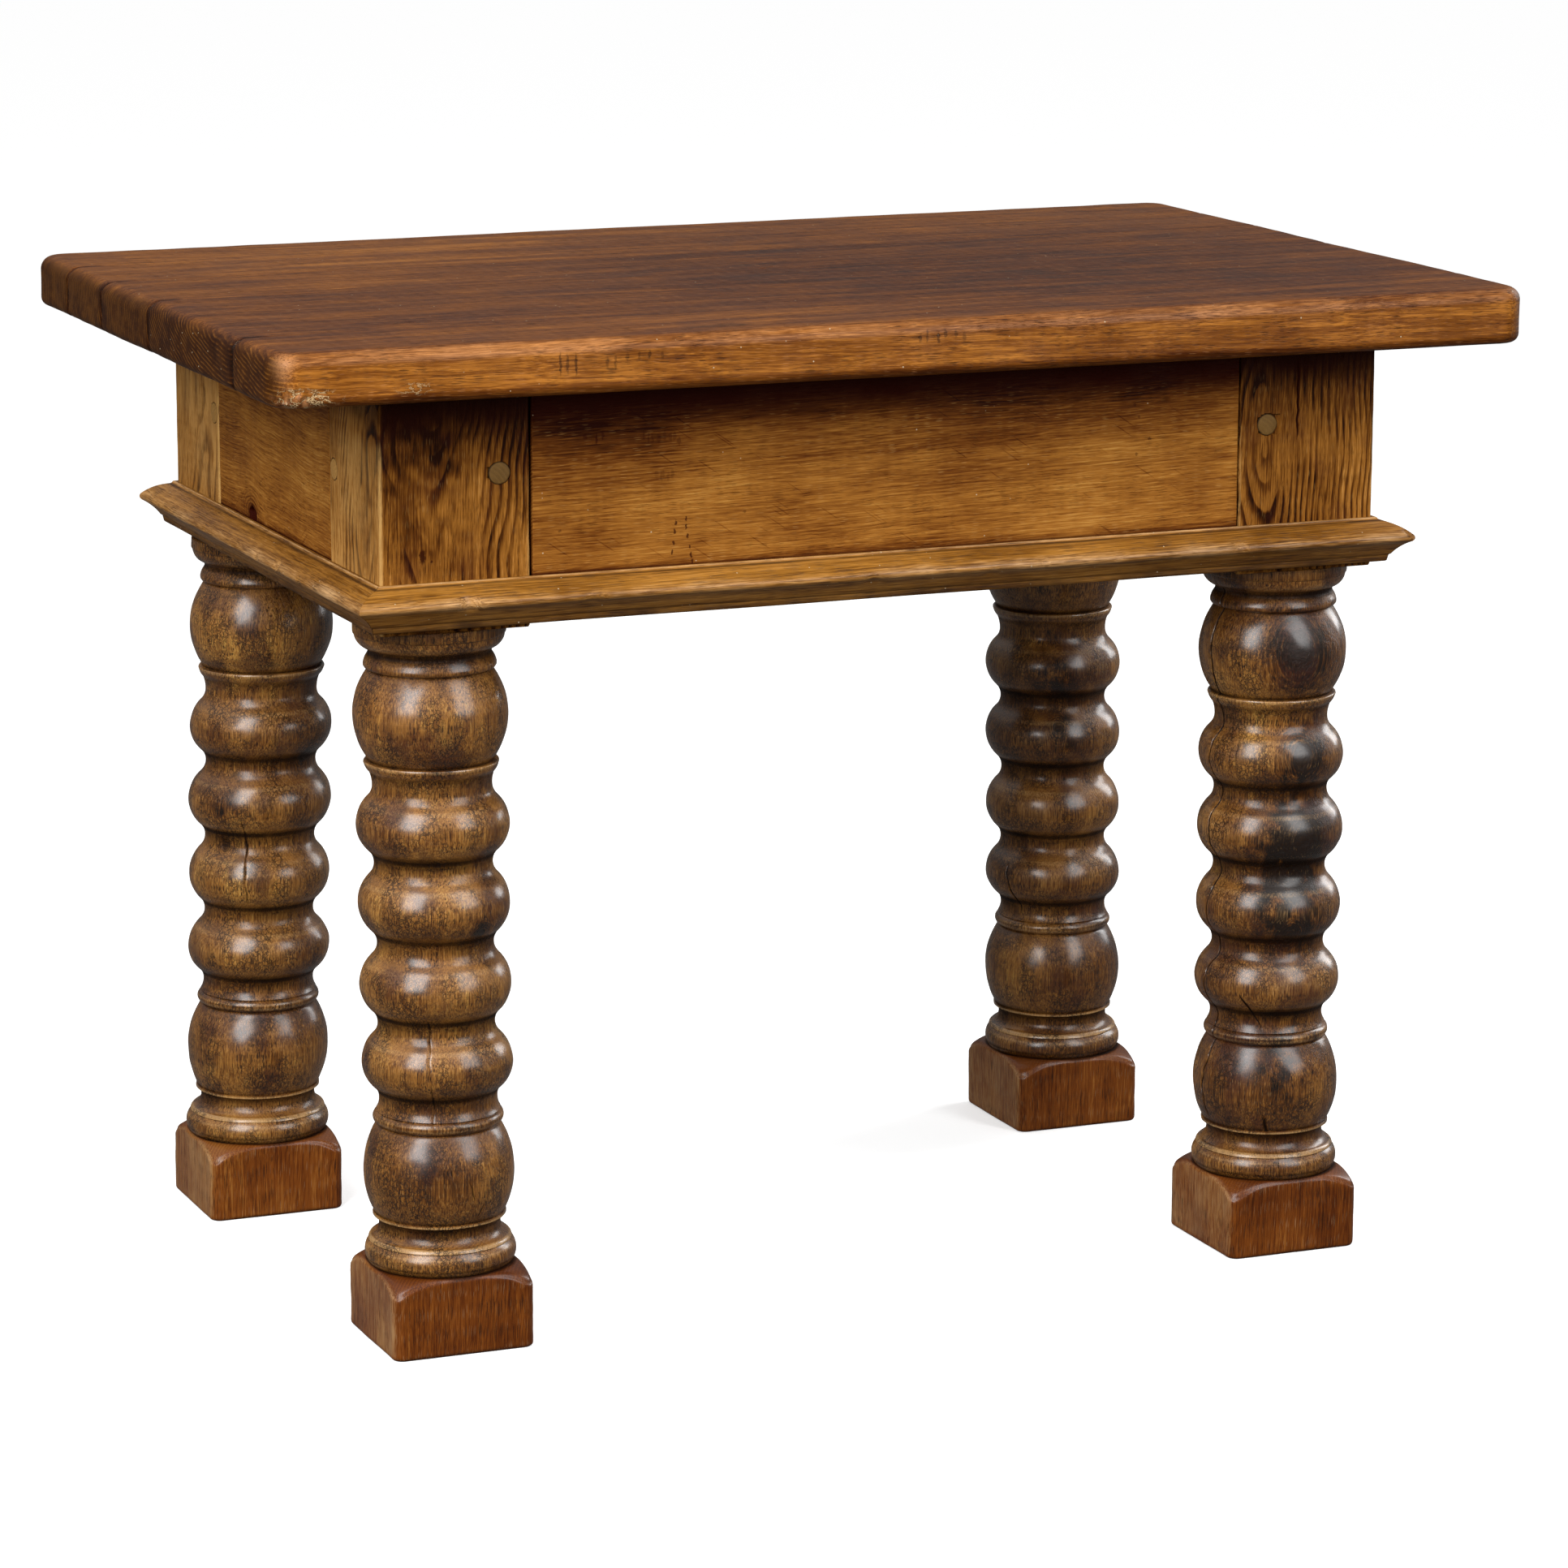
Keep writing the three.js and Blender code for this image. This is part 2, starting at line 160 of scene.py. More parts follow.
def ring_sides(count, around):
    """The faces between rings of points, top first, with the points of each ring and those beside."""
    ring = np.arange(count * around).reshape(count, around)
    beside = np.roll(ring, -1, axis=1)
    sides = np.stack([ring[:-1], ring[1:], beside[1:], beside[:-1]], axis=-1).reshape(-1, 4)
    return sides.tolist(), ring.tolist(), beside.tolist()


def closed_tube(rings, start, end):
    """A closed body from rings of points, top first, with a centre point closing each end."""
    count, around, _ = rings.shape
    faces, ring, beside = ring_sides(count, around)
    first = count * around
    faces += [[first, a, b] for a, b in zip(ring[0], beside[0])]
    faces += [[first + 1, b, a] for a, b in zip(ring[-1], beside[-1])]
    return np.vstack([rings.reshape(-1, 3), [start], [end]]), faces


def circle(count):
    turn = np.arange(count) * math.tau / count
    return np.column_stack([np.cos(turn), np.sin(turn)])


def stacked(section, shape, centre, way):
    """Rings of one section, each as (its scale, how far it stands from the centre)."""
    scales, places = np.array(shape).T[:, :, None, None]
    return centre + scales * section + places * np.array(way, float)


def rounded(a, b):
    """Draws a point of the unit square in to the quarter disc, so that its far sides are an arc."""
    reach = np.hypot(a, b)
    scale = np.where(reach > 0, np.maximum(a, b) / np.maximum(reach, 1e-9), 1)
    return a * scale, b * scale


def ease_box(points, low, high, radius):
    """Rounds every edge and corner of a box by the same small radius."""
    inner = np.clip(points, low + radius, high - radius)
    out = points - inner
    length = np.linalg.norm(out, axis=1)
    scale = np.where(length > 0, radius / np.maximum(length, 1e-9), 1)
    return inner + out * np.minimum(scale, 1)[:, None]


def round_plan(points, middle, half, corner):
    """Rounds the upright corners of a block.

    Gives each point's place in plan, how far in from the side it is, and which way is out.
    """
    sign = np.where(points[:, :2] < middle, -1, 1)
    plan = np.abs(points[:, :2] - middle)
    beyond = (plan - (half - corner)) / corner
    both = (beyond > 0).all(1)
    beyond[both] = np.column_stack(rounded(*beyond[both].T))
    plan = half - corner + beyond * corner
    outward = np.eye(2)[(half - plan).argmin(1)]
    inset = (half - plan).min(1)
    reach = np.linalg.norm(beyond, axis=1)
    outward[both] = beyond[both] / np.maximum(reach[both], 1e-9)[:, None]
    inset[both] = (1 - reach[both]) * corner
    return middle + sign * plan, inset, sign * outward


def round_edge(plan, height, inset, outward, face, radius, way):
    """Rounds the edge between a block's sides and the face at a height, whose inside is that way."""
    face = np.broadcast_to(face, height.shape)
    depth = np.abs(face - height)
    near = (inset < radius) & (depth < radius)
    a, b = rounded(1 - inset[near] / radius, 1 - depth[near] / radius)
    drawn_in = radius * (1 - a)
    plan[near] -= outward[near] * (drawn_in - inset[near])[:, None]
    inset[near] = drawn_in
    height[near] = face[near] + way * radius * (1 - b)


# ---------------------------------------- pieces


def store(mesh, name, values):
    kind = "FLOAT_VECTOR" if values.ndim == 2 else "FLOAT"
    field = "vector" if values.ndim == 2 else "value"
    attribute = mesh.attributes.new(name, kind, "POINT")
    attribute.data.foreach_set(field, np.ascontiguousarray(values, np.float32).ravel())


def read(items, field):
    """A vector of every vertex or face, one row each."""
    found = np.empty(len(items) * 3, np.float32)
    items.foreach_get(field, found)
    return found.reshape(-1, 3).astype(float)


def tree_place(points, along, pith, lean=(0, 0), offset=0, knots=()):
    """Where each point was in the tree: along the fibres, and across them from the pith.

    The pith is a point across the piece, and leans by that much for each unit along it.
    Fibres run round each knot.
    """
    a = points[:, along]
    columns = [a + offset]
    for axis, centre, slope in zip(others(along), pith, lean):
        side = points[:, axis].copy()
        for place, radius in knots:
            away = ((points - np.array(place)) ** 2).sum(1)
            side -= (side - place[axis]) * radius**2 / (away + radius**2)
        columns.append(side - centre - slope * a)
    return np.column_stack(columns)


def others(axis):
    return [other for other in range(3) if other != axis]


def knot_distance(points, along, knots):
    nearest = np.full(len(points), NO_KNOT)
    for place, radius in knots:
        away = points - np.array(place)
        away[:, along] *= 0.75
        nearest = np.minimum(nearest, np.linalg.norm(away, axis=1) * 10 / radius)
    return nearest


def add_object(name, data):
    thing = bpy.data.objects.new(name, data)
    bpy.context.scene.collection.objects.link(thing)
    return thing


def add_piece(node, kind, points, faces, materials, sharp):
    """Adds a piece that stands for a CAD node. Edges over that many degrees stay sharp."""
    mesh = bpy.data.meshes.new(f"{node}_{kind}")
    mesh.from_pydata((points * MM).tolist(), [], faces)
    mesh.shade_smooth()
    mesh.set_sharp_from_angle(angle=math.radians(sharp))
    for material in materials:
        mesh.materials.append(material)
    piece = add_object(mesh.name, mesh)
    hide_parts(node)
    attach(piece, "root")
    return mesh


def make_piece(node, points, faces, material, along, grain, tone, wear_and_painted_light, knots=(), depth=None):
    """Makes one wooden piece, and gives its mesh."""
    if depth is None:
        depth = np.linalg.norm(grain[:, 1:], axis=1)
    mesh = add_piece(node, "wood", points, faces, [material], 42)
    every = np.ones(len(points))
    store(mesh, "grain", grain * MM)
    store(mesh, "depth", depth)
    store(mesh, "tone", tone * every)
    store(mesh, "wear_and_painted_light", wear_and_painted_light * every)
    store(mesh, "knot", knot_distance(points, along, knots))
    store(mesh, "ends", np.abs(read(mesh.vertex_normals, "vector")[:, along]))
    return mesh


def change_above(mesh, height, material):
    """Gives the faces above a height another material."""
    mesh.materials.append(material)
    upper = read(mesh.polygons, "center")[:, 2] > height * MM
    mesh.polygons.foreach_set("material_index", upper.astype(np.int32))


# ---------------------------------------- materials


def shade(code):
    """A colour from its six-digit code, as linear light."""
    parts = [int(code[i : i + 2], 16) / 255 for i in (0, 2, 4)]
    linear = [p / 12.92 if p <= 0.04045 else ((p + 0.055) / 1.055) ** 2.4 for p in parts]
    return (*linear, 1)


def spread(codes):
    """Colours spread evenly from 0 to 1."""
    return [(i / (len(codes) - 1), shade(code)) for i, code in enumerate(codes)]


class Surface:
    """The node tree of a material or a world, built by short calls that take numbers or sockets."""

    def __init__(self, owner):
        owner.use_nodes = True
        self.owner = owner
        self.nodes = owner.node_tree.nodes

    def fill(self, node, inputs):
        """Sets or links a node's inputs, each by its name or number."""
        for key, value in inputs.items():
            if isinstance(value, bpy.types.NodeSocket):
                self.owner.node_tree.links.new(value, node.inputs[key])
            else:
                node.inputs[key].default_value = value

    def new(self, kind, inputs, **settings):
        node = self.nodes.new("ShaderNode" + kind)
        for name, value in settings.items():
            setattr(node, name, value)
        self.fill(node, inputs)
        return node

    def shader(self, inputs):
        self.fill(self.nodes["Principled BSDF"], inputs)

    def attribute(self, name, output="Fac"):
        return self.new("Attribute", {}, attribute_name=name).outputs[output]

    def place(self):
        """The place on the object, in millimetres."""
        return self.vector("SCALE", self.new("TexCoord", {}).outputs["Object"], 1 / MM)

    def math(self, operation, *values):
        return self.new("Math", dict(enumerate(values)), operation=operation).outputs[0]

    def total(self, *values):
        """The sum of several values."""
        return reduce(lambda a, b: self.math("ADD", a, b), values)

    def times(self, *values):
        """The product of several values."""
        return reduce(lambda a, b: self.math("MULTIPLY", a, b), values)

    def sloped(self, value, slope, start=1.0):
        return self.math("MULTIPLY_ADD", value, slope, start)

    def scaled(self, value, factor, about=0.5):
        """A value's distance from its middle, times a factor."""
        return self.times(self.math("SUBTRACT", value, about), factor)

    def step(self, value, low, high):
        """A smooth step from 0 at low to 1 at high."""
        inputs = {"Value": value, "From Min": low, "From Max": high}
        return self.new("MapRange", inputs, interpolation_type="SMOOTHSTEP").outputs["Result"]

    def vector(self, operation, first, second=(0, 0, 0)):
        inputs = {0: first, "Scale" if operation == "SCALE" else 1: second}
        node = self.new("VectorMath", inputs, operation=operation)
        return node.outputs["Value" if operation == "LENGTH" else "Vector"]

    def stretched(self, place, along, across, shift=0.0):
        """The place measured in swells that are so long along the fibres and so wide across."""
        scale = (1 / along, 1 / across, 1 / across)
        return self.vector("ADD", self.vector("MULTIPLY", place, scale), (shift, shift, shift))

    def noise(self, place, detail=2.0, roughness=0.5, output="Fac"):
        inputs = {"Vector": place, "Scale": 1.0, "Detail": detail, "Roughness": roughness}
        return self.new("TexNoise", inputs).outputs[output]

    def swells(self, place, along, across, shift=0.0, detail=2.0, roughness=0.5):
        return self.noise(self.stretched(place, along, across, shift), detail, roughness)

    def jolts(self, place, detail, roughness, size):
        """Random shifts along each axis, of about half that size either way."""
        jolt = self.noise(place, detail, roughness, "Color")
        return self.vector("MULTIPLY", self.vector("SUBTRACT", jolt, (0.5, 0.5, 0.5)), size)

    def cells(self, place, feature="F1"):
        """Cells round scattered points."""
        return self.new("TexVoronoi", {"Vector": place, "Scale": 1.0}, feature=feature).outputs

    def network(self, place, width):
        """A net of fine cracks between cells, 1 along each crack and 0 beside it."""
        distance = self.cells(place, "DISTANCE_TO_EDGE")["Distance"]
        return self.step(distance, width, width * 0.3)

    def dashes(self, place, along, across, shift, density, size):
        """Scattered marks, 1 inside and 0 outside, in that share of the cells."""
        cells = self.cells(self.stretched(place, along, across, shift))
        chance = self.new("SeparateColor", {0: cells["Color"]}).outputs[0]
        here = self.step(chance, 1 - density - 0.02, 1 - density + 0.02)
        return self.times(here, self.step(cells["Distance"], size, size * 0.45))

    def drawn(self, marks):
        """Soft marks at chosen places, each a centre, half its size each way, and a strength."""
        place = self.place()
        ragged = self.jolts(self.vector("SCALE", place, 0.4), 3, 0.6, (3.5, 3.5, 3.5))
        place = self.vector("ADD", place, ragged)
        total = 0.0
        for centre, half, strength in marks:
            away = self.vector("SUBTRACT", place, centre)
            away = self.vector("LENGTH", self.vector("DIVIDE", away, half))
            total = self.math("MAXIMUM", total, self.times(self.step(away, 1.15, 0.55), strength))
        return total

    def ramp(self, value, stops):
        """Colours at places from 0 to 1, each given as its place and its colour."""
        node = self.new("ValToRGB", {"Fac": value})
        elements = node.color_ramp.elements
        while len(elements) < len(stops):
            elements.new(0.5)
        for element, (place, colour) in zip(elements, stops):
            element.position = place
            element.color = colour
        return node.outputs["Color"]

    def blend(self, factor, first, code):
        """Lays a colour over another."""
        inputs = {"Factor": factor, 6: first, 7: shade(code)}
        return self.new("Mix", inputs, data_type="RGBA").outputs[2]

    def bump(self, height, strength):
        """Height in millimetres."""
        inputs = {"Strength": strength, "Distance": MM, "Height": height}
        self.shader({"Normal": self.new("Bump", inputs).outputs["Normal"]})


def growth_rings(s, place, ring):
    """The open early wood of each year, and the dense line that ends it, from 0 to 1."""
    years = s.math("DIVIDE", s.attribute("depth"), ring)
    season = s.math("FRACT", s.total(years, s.scaled(s.swells(place, 120, 40, 7, 3, 0.45), 2.2)))
    early = s.times(s.step(season, 0.65, 0.15), s.step(season, 0.0, 0.12))
    line = s.times(s.step(season, 0.45, 0.8), s.step(season, 1.0, 0.9))
    patchy = s.step(s.swells(place, 70, 28, 67), 0.36, 0.62)
    uneven = s.step(s.swells(place, 60, 9, 89, 3), 0.3, 0.62)
    return s.times(early, patchy), s.times(line, uneven)


def open_pores(s, bent, mark, gathered, across_ends):
    """Short dark grooves along the fibres, thick in some places and rare on end grain."""
    length, width = mark
    coarse = s.dashes(bent, length, width, 23, 0.45, 0.42)
    fine = s.dashes(bent, length * 0.5, width * 0.55, 29, 0.5, 0.4)
    pore = s.math("MAXIMUM", coarse, s.times(fine, 0.7))
    return s.times(pore, s.sloped(gathered, 0.75, 0.25), s.sloped(across_ends, -0.8))


def crackled(s, place):
    """A net of fine cracks in the old polish, in patches."""
    jolt = s.noise(s.stretched(place, 3, 3, 73), 2, 0.5, "Color")
    net = s.vector("ADD", s.stretched(place, 5, 3.4, 79), s.vector("SCALE", jolt, 1.6))
    return s.times(s.network(net, 0.1), s.step(s.swells(place, 26, 20, 83, 3), 0.42, 0.62))


def knot_marks(s, cloud):
    """The dark core of each knot, and the rings round it."""
    knot = s.attribute("knot")
    core = s.step(s.total(knot, s.scaled(cloud, 5)), 9, 5)
    ring = s.math("FRACT", s.times(s.total(knot, s.scaled(cloud, 6)), 0.38))
    return core, s.times(s.step(ring, 0.0, 0.6), s.step(knot, 24, 6))


def ray_flecks(s, place):
    """Slanting flecks where the saw has met the tree's rays, in patches."""
    inputs = {"Vector": place, "Angle": math.radians(-35)}
    turned = s.new("VectorRotate", inputs, rotation_type="Y_AXIS").outputs["Vector"]
    patch = s.step(s.swells(place, 90, 60, 37), 0.48, 0.58)
    return s.times(s.dashes(turned, 34, 1.6, 31, 0.14, 0.4), patch)


def crazed(s, place, colour, marks, grime_and_shade):
    """Wandering cracks at chosen places, dark with a pale thread along each."""
    wander = s.math("SUBTRACT", s.swells(place, 14, 7, 61, 4, 0.65), 0.5)
    off = s.math("ABSOLUTE", wander)
    near = s.drawn(marks)
    colour = s.blend(s.times(s.step(off, 0.05, 0.03), near), colour, grime_and_shade)
    return s.blend(s.times(s.step(off, 0.02, 0.01), near), colour, "cfae7e")


def oak(name, colours, worn, grime_and_shade, ring=3.2, rings=0.15, bands=0.3, streaks=0.7, fibres=0.5,
        clouds=0.3, mark=(9, 1.2), marks=0.6, pale=0.0, blotch="2a1410", blotches=0.0, rays=0.0,
        specks=0.0, end_dark=0.4, end_lines=0.3, drawn=(), craze=(), crackle=0.0, lathe=0.0,
        roughness=0.5, gloss=0.2, coat=0.0, relief=0.7):
    """Old waxed oak: growth rings, streaks, open pores, ray flecks, knots, wear and dirt, with
    painted highlights and painted shade.
    """
    s = Surface(bpy.data.materials.new(name))
    wear_and_painted_light = s.attribute("wear_and_painted_light")
    place = s.vector("SCALE", s.attribute("grain", "Vector"), 1 / MM)
    across_ends = s.step(s.attribute("ends"), 0.3, 0.95)
    bent = s.vector("ADD", place, s.jolts(s.stretched(place, 150, 22), 2, 0.5, (0, 6, 6)))
    band = s.swells(bent, 420, 18, 3)
    streak = s.swells(bent, 120, 2.4, 5, 5, 0.68)
    fibre = s.swells(bent, 24, 0.9, 11, 2, 0.65)
    cloud = s.swells(place, 60, 46, 17, 4, 0.62)
    gathered = s.step(s.swells(place, 50, 22, 53), 0.38, 0.6)
    early, line = growth_rings(s, place, ring)
    knot_core, knot_ring = knot_marks(s, cloud)
    pore = open_pores(s, bent, mark, gathered, across_ends)
    if lathe:
        pore = s.times(pore, s.sloped(s.step(wear_and_painted_light, 0.0, 0.5), -0.75))
    if crackle:
        pore = s.math("MAXIMUM", pore, s.times(crackled(s, place), crackle))

    grain = s.total(s.scaled(streak, streaks), s.scaled(fibre, fibres))
    tone = s.total(
        0.5,
        s.scaled(band, bands),
        s.times(grain, s.sloped(across_ends, -0.75)),
        s.scaled(cloud, clouds),
        s.times(early, -rings),
        s.times(line, across_ends, end_lines),
        s.times(knot_ring, -0.3),
        s.attribute("tone"),
    )
    if rays:
        tone = s.total(tone, s.times(ray_flecks(s, place), -rays))

    colour = s.ramp(tone, spread(colours))
    if blotches:
        patch = s.step(s.swells(place, 40, 30, 43, 3, 0.55), 0.5, 0.66)
        colour = s.blend(s.times(patch, blotches), colour, blotch)
    if lathe:
        turning = s.swells(place, 0.7, 30, 71, 3, 0.6)
        colour = s.blend(s.scaled(turning, lathe), colour, grime_and_shade)
    # The worn colour goes where wear is above 0: rubbed wear, and painted highlights.
    rubbed_and_highlight = s.step(s.total(wear_and_painted_light, s.scaled(cloud, 0.8), s.scaled(fibre, 0.9)), 0.1, 1.1)
    colour = s.blend(s.times(rubbed_and_highlight, s.step(wear_and_painted_light, 0.0, 0.25), 0.8), colour, worn)
    if pale:
        chalk = s.dashes(bent, mark[0] * 0.8, mark[1] * 0.6, 47, 0.3, 0.38)
        colour = s.blend(s.times(chalk, s.sloped(gathered, -0.6), pale), colour, worn)
    # The grime colour goes where wear is below 0: dirt, and painted shade under the top, under swells
    # and in creases.
    dirt_and_shade = s.times(wear_and_painted_light, -1.0)
    dirt_and_shade = s.total(dirt_and_shade, s.times(s.scaled(cloud, 1.1), s.step(dirt_and_shade, 0, 0.5)))
    colour = s.blend(s.step(dirt_and_shade, 0.05, 1.05), colour, grime_and_shade)
    dark = s.total(s.times(pore, marks), s.times(across_ends, end_dark), s.times(knot_core, 0.7))
    if drawn:
        dark = s.total(dark, s.drawn(drawn))
    colour = s.blend(s.math("MINIMUM", dark, 0.85), colour, grime_and_shade)
    if craze:
        colour = crazed(s, place, colour, craze, grime_and_shade)
    if specks:
        colour = s.blend(s.dashes(place, 7, 7, 41, specks, 0.1), colour, "b9a687")

    rough = s.total(
        roughness,
        s.times(pore, 0.2),
        s.scaled(cloud, 0.3),
        s.scaled(streak, -0.15),
        s.times(s.math("MAXIMUM", dirt_and_shade, 0.0), 0.12),
        s.times(across_ends, 0.15),
    )
    s.shader({
        "Base Color": colour,
        "Roughness": rough,
        "Specular IOR Level": gloss,
        "Coat Weight": s.sloped(s.step(dirt_and_shade, 0, 0.7), -coat, coat),
        "Coat Roughness": 0.26,
    })
    height = s.total(
        s.times(fibre, 0.2),
        s.times(streak, 0.22),
        s.times(cloud, 0.9),
        s.times(early, -0.05),
        s.times(pore, -0.3),
        s.times(knot_core, -0.3),
    )
    s.bump(height, relief)
    return s.owner


def ticks(x_range, y, z_range, count, length, seed, strength=0.85):
    """Short upright marks scattered over a stretch of a front face."""
    source = np.random.default_rng(seed)
    found = []
    for x in np.linspace(*x_range, count):
        x += source.uniform(-1.5, 1.5)
        z = source.uniform(*z_range)
        half = (source.uniform(1.0, 1.7), 9, length * source.uniform(0.6, 1.0) / 2)
        found.append(((x, y, z), half, strength * source.uniform(0.6, 1.0)))
    return found


def top_marks():
    """Knife ticks along the front edge, and dark spots in the surface."""
    front = -315
    marks = ticks((-284, -273), front, (740, 743), 3, 19, 1)
    marks += ticks((-248, -243), front, (741, 745), 2, 15, 2, 0.5)
    marks += ticks((-232, -208), front, (744, 748), 4, 8, 3, 0.55)
    marks += ticks((-8, 28), front, (744, 749), 6, 11, 4, 0.55)
    marks += [
        ((-359, -186, 760), (6, 2.5, 6), 0.5),
        ((-349, -185, 760), (2.5, 1.5, 6), 0.85),
        ((14, 33, 760), (9, 1.5, 6), 0.6),
        ((20, 26, 760), (2.5, 2, 6), 0.8),
        ((125, -12, 760), (12, 1.5, 6), 0.45),
        ((-150, -285, 760), (30, 7, 6), 0.35),
        ((-386, 213, 760), (14, 1.2, 6), 0.4),
    ]
    return marks


def top_oak():
    cracks = [((-478, -313, 727), (34, 14, 9), 0.7), ((-392, -313, 731), (16, 9, 5), 0.4)]
    return oak(
        "top_oak", ("1a0800", "451f04", "703f10", "a86a26"), worn="b98050", grime_and_shade="100400",
        ring=3.6, rings=0.08, bands=0.6, streaks=0.95, fibres=0.7, clouds=0.4, mark=(14, 1.1),
        marks=0.65, pale=0.35, specks=0.08, end_dark=0.72, end_lines=0.5, drawn=top_marks(),
        craze=cracks, roughness=0.4, gloss=0.1, coat=0.03, relief=0.6,
    )


def rail_marks():
    """Old knife ticks, nail holes and stains on the front rail."""
    front = -252.5
    marks = ticks((-241, -228), front, (677, 682), 3, 9, 11)
    marks += ticks((-196, -170), front, (672, 678), 8, 10, 12, 0.5)
    marks += ticks((-188, -174), front, (643, 650), 5, 10, 13, 0.3)
    for x, z in ((-172, 612), (-173, 606), (-174, 598), (-175, 591), (-164, 615), (-164, 609),
                 (-163, 602), (-161, 594), (-160, 588), (-159, 583)):
        marks.append(((x, front, z), (0.9, 9, 2.2), 0.85))
    for x, z in ((197, 678), (201, 669), (199, 641), (210, 652), (-262, 612), (-118, 617)):
        marks.append(((x, front, z), (1.6, 9, 1.2), 0.5))
    return marks


def frame_oak():
    return oak(
        "frame_oak", ("260800", "62340b", "935e22", "b8853f"), worn="b98c4f", grime_and_shade="2d0700",
        ring=2.4, rings=0.1, bands=0.35, streaks=0.55, fibres=0.9, clouds=0.5, mark=(12, 1.1),
        marks=0.35, pale=0.35, rays=0.16, specks=0.05, drawn=rail_marks(), gloss=0.05,
    )


def post_oak():
    """The square heads of the legs, whose faces show bold arches of grain."""
    marks = [((-367, -252.5, 600), (2.4, 9, 6), 0.85), ((-360, -252.5, 596), (1, 9, 1), 0.8)]
    return oak(
        "post_oak", ("1c0700", "552e08", "8c5a20", "b98443"), worn="bd9458", grime_and_shade="260700",
        ring=5.5, rings=0.52, bands=0.4, fibres=0.9, clouds=0.5, mark=(12, 1.1), marks=0.5,
        pale=0.2, blotch="3c1610", blotches=0.25, drawn=marks, gloss=0.05,
    )


def moulding_oak():
    return oak(
        "moulding_oak", ("200d03", "69400f", "9f6c2a", "c49050"), worn="d2a876", grime_and_shade="1c0902",
        ring=2.8, rings=0.1, streaks=0.9, fibres=0.8, mark=(20, 1.1), marks=0.55, pale=0.2,
        specks=0.25, roughness=0.42, coat=0.1,
    )


def leg_oak():
    return oak(
        "leg_oak", ("180900", "5a330d", "906028", "ba8b42"), worn="b8905c", grime_and_shade="180800",
        ring=2.2, rings=0.05, bands=0.25, fibres=1.2, clouds=0.8, mark=(9, 1.1), marks=0.9,
        pale=0.3, blotch="3c1a0e", blotches=0.6, end_dark=0.1, end_lines=0.1,
        crackle=0.75, lathe=0.9, roughness=0.38, gloss=0.14, coat=0.9, relief=2.8,
    )


def foot_oak():
    return oak(
        "foot_oak", ("200a00", "502304", "733c0e", "9a642a"), worn="a98c68", grime_and_shade="160600",
        ring=2.6, rings=0.08, fibres=1.0, clouds=0.6, mark=(20, 0.8), marks=0.8,
        pale=0.4, end_dark=0.2, end_lines=0.1, roughness=0.34, gloss=0.12, coat=0.35,
    )


def peg_oak():
    return oak(
        "peg_oak", ("2a1a07", "553a14", "735322", "b48545"), worn="94713c", grime_and_shade="1c1105",
        rings=0.03, bands=0.2, streaks=0.4, end_dark=0.05, end_lines=0.08, roughness=0.55,
        gloss=0.25,
    )


def bearer_oak():
    return oak(
        "bearer_oak", ("4a3018", "7a5632", "9c764a", "b99567"), worn="c4a579", grime_and_shade="2b1b0e",
        streaks=0.6, roughness=0.75,
    )


def screw_steel():
    """Dull steel with brown tarnish."""
    s = Surface(bpy.data.materials.new("screw_steel"))
    tarnish = s.swells(s.place(), 3, 3, 0, 4, 0.6)
    s.shader({
        "Base Color": s.ramp(tarnish, spread(("3a2d24", "5d564f", "8b867f"))),
        "Metallic": 0.85,
        "Roughness": s.sloped(tarnish, 0.4, 0.25),
    })
    s.bump(s.times(tarnish, 0.1), 0.5)
    return s.owner


# ---------------------------------------- the top


def round_slab(points, low, high):
    """Turns a point of a square-edged slab into the same point of the rounded one."""
    middle, half = (low + high)[:2] / 2, (high - low)[:2] / 2
    plan, inset, outward = round_plan(points, middle, half, SLAB_CORNER)
    height = points[:, 2].copy()
    round_edge(plan, height, inset, outward, high[2], EDGE_ABOVE, -1)
    round_edge(plan, height, inset, outward, low[2], EDGE_BELOW, 1)
    return np.column_stack([plan, height]), inset, outward


# Dents in the top: place along and across the table, radius and depth.
DENTS = (
    (-351, -184, 4, 1.3),
    (3.5, 9, 3, 1.2),
    (12, 14, 2, 0.8),
    (124, -13, 4, 0.9),
    (-140, 120, 5, 0.5),
    (260, -120, 6, 0.4),
    (-40, -230, 5, 0.4),
    (330, 150, 5, 0.4),
)


def wear_slab(points, inset, outward, low, high):
    """Old age on the top: a wavy edge, shallow hollows, dents and a chipped corner."""
    edge = ease(inset, 24, 0)
    lump = 0.9 * waves(points, 130, 1) + 0.35 * waves(points, 34, 2)
    worn = points.copy()
    worn[:, :2] += outward * (edge * (lump - 0.5))[:, None]
    swell = 0.35 * waves(points, 210, 3) + 0.1 * waves(points, 40, 4) - 0.35
    for x, y, radius, depth in DENTS:
        away = np.hypot(points[:, 0] - x, (points[:, 1] - y) * 1.6)
        swell -= depth * np.exp(-((away / radius) ** 2))
    worn[:, 2] += swell * ease(points[:, 2], high[2] - 14, high[2])
    chip_place = low + (10, 4, 6)
    near = np.exp(-(((points - chip_place) / (34, 14, 9)) ** 2).sum(1))
    ridges = np.abs(waves(points, 11, 5))
    worn[:, :2] -= outward * (near * (2.6 * ridges + 0.3))[:, None]
    return worn, near * (0.2 + 0.8 * ridges)


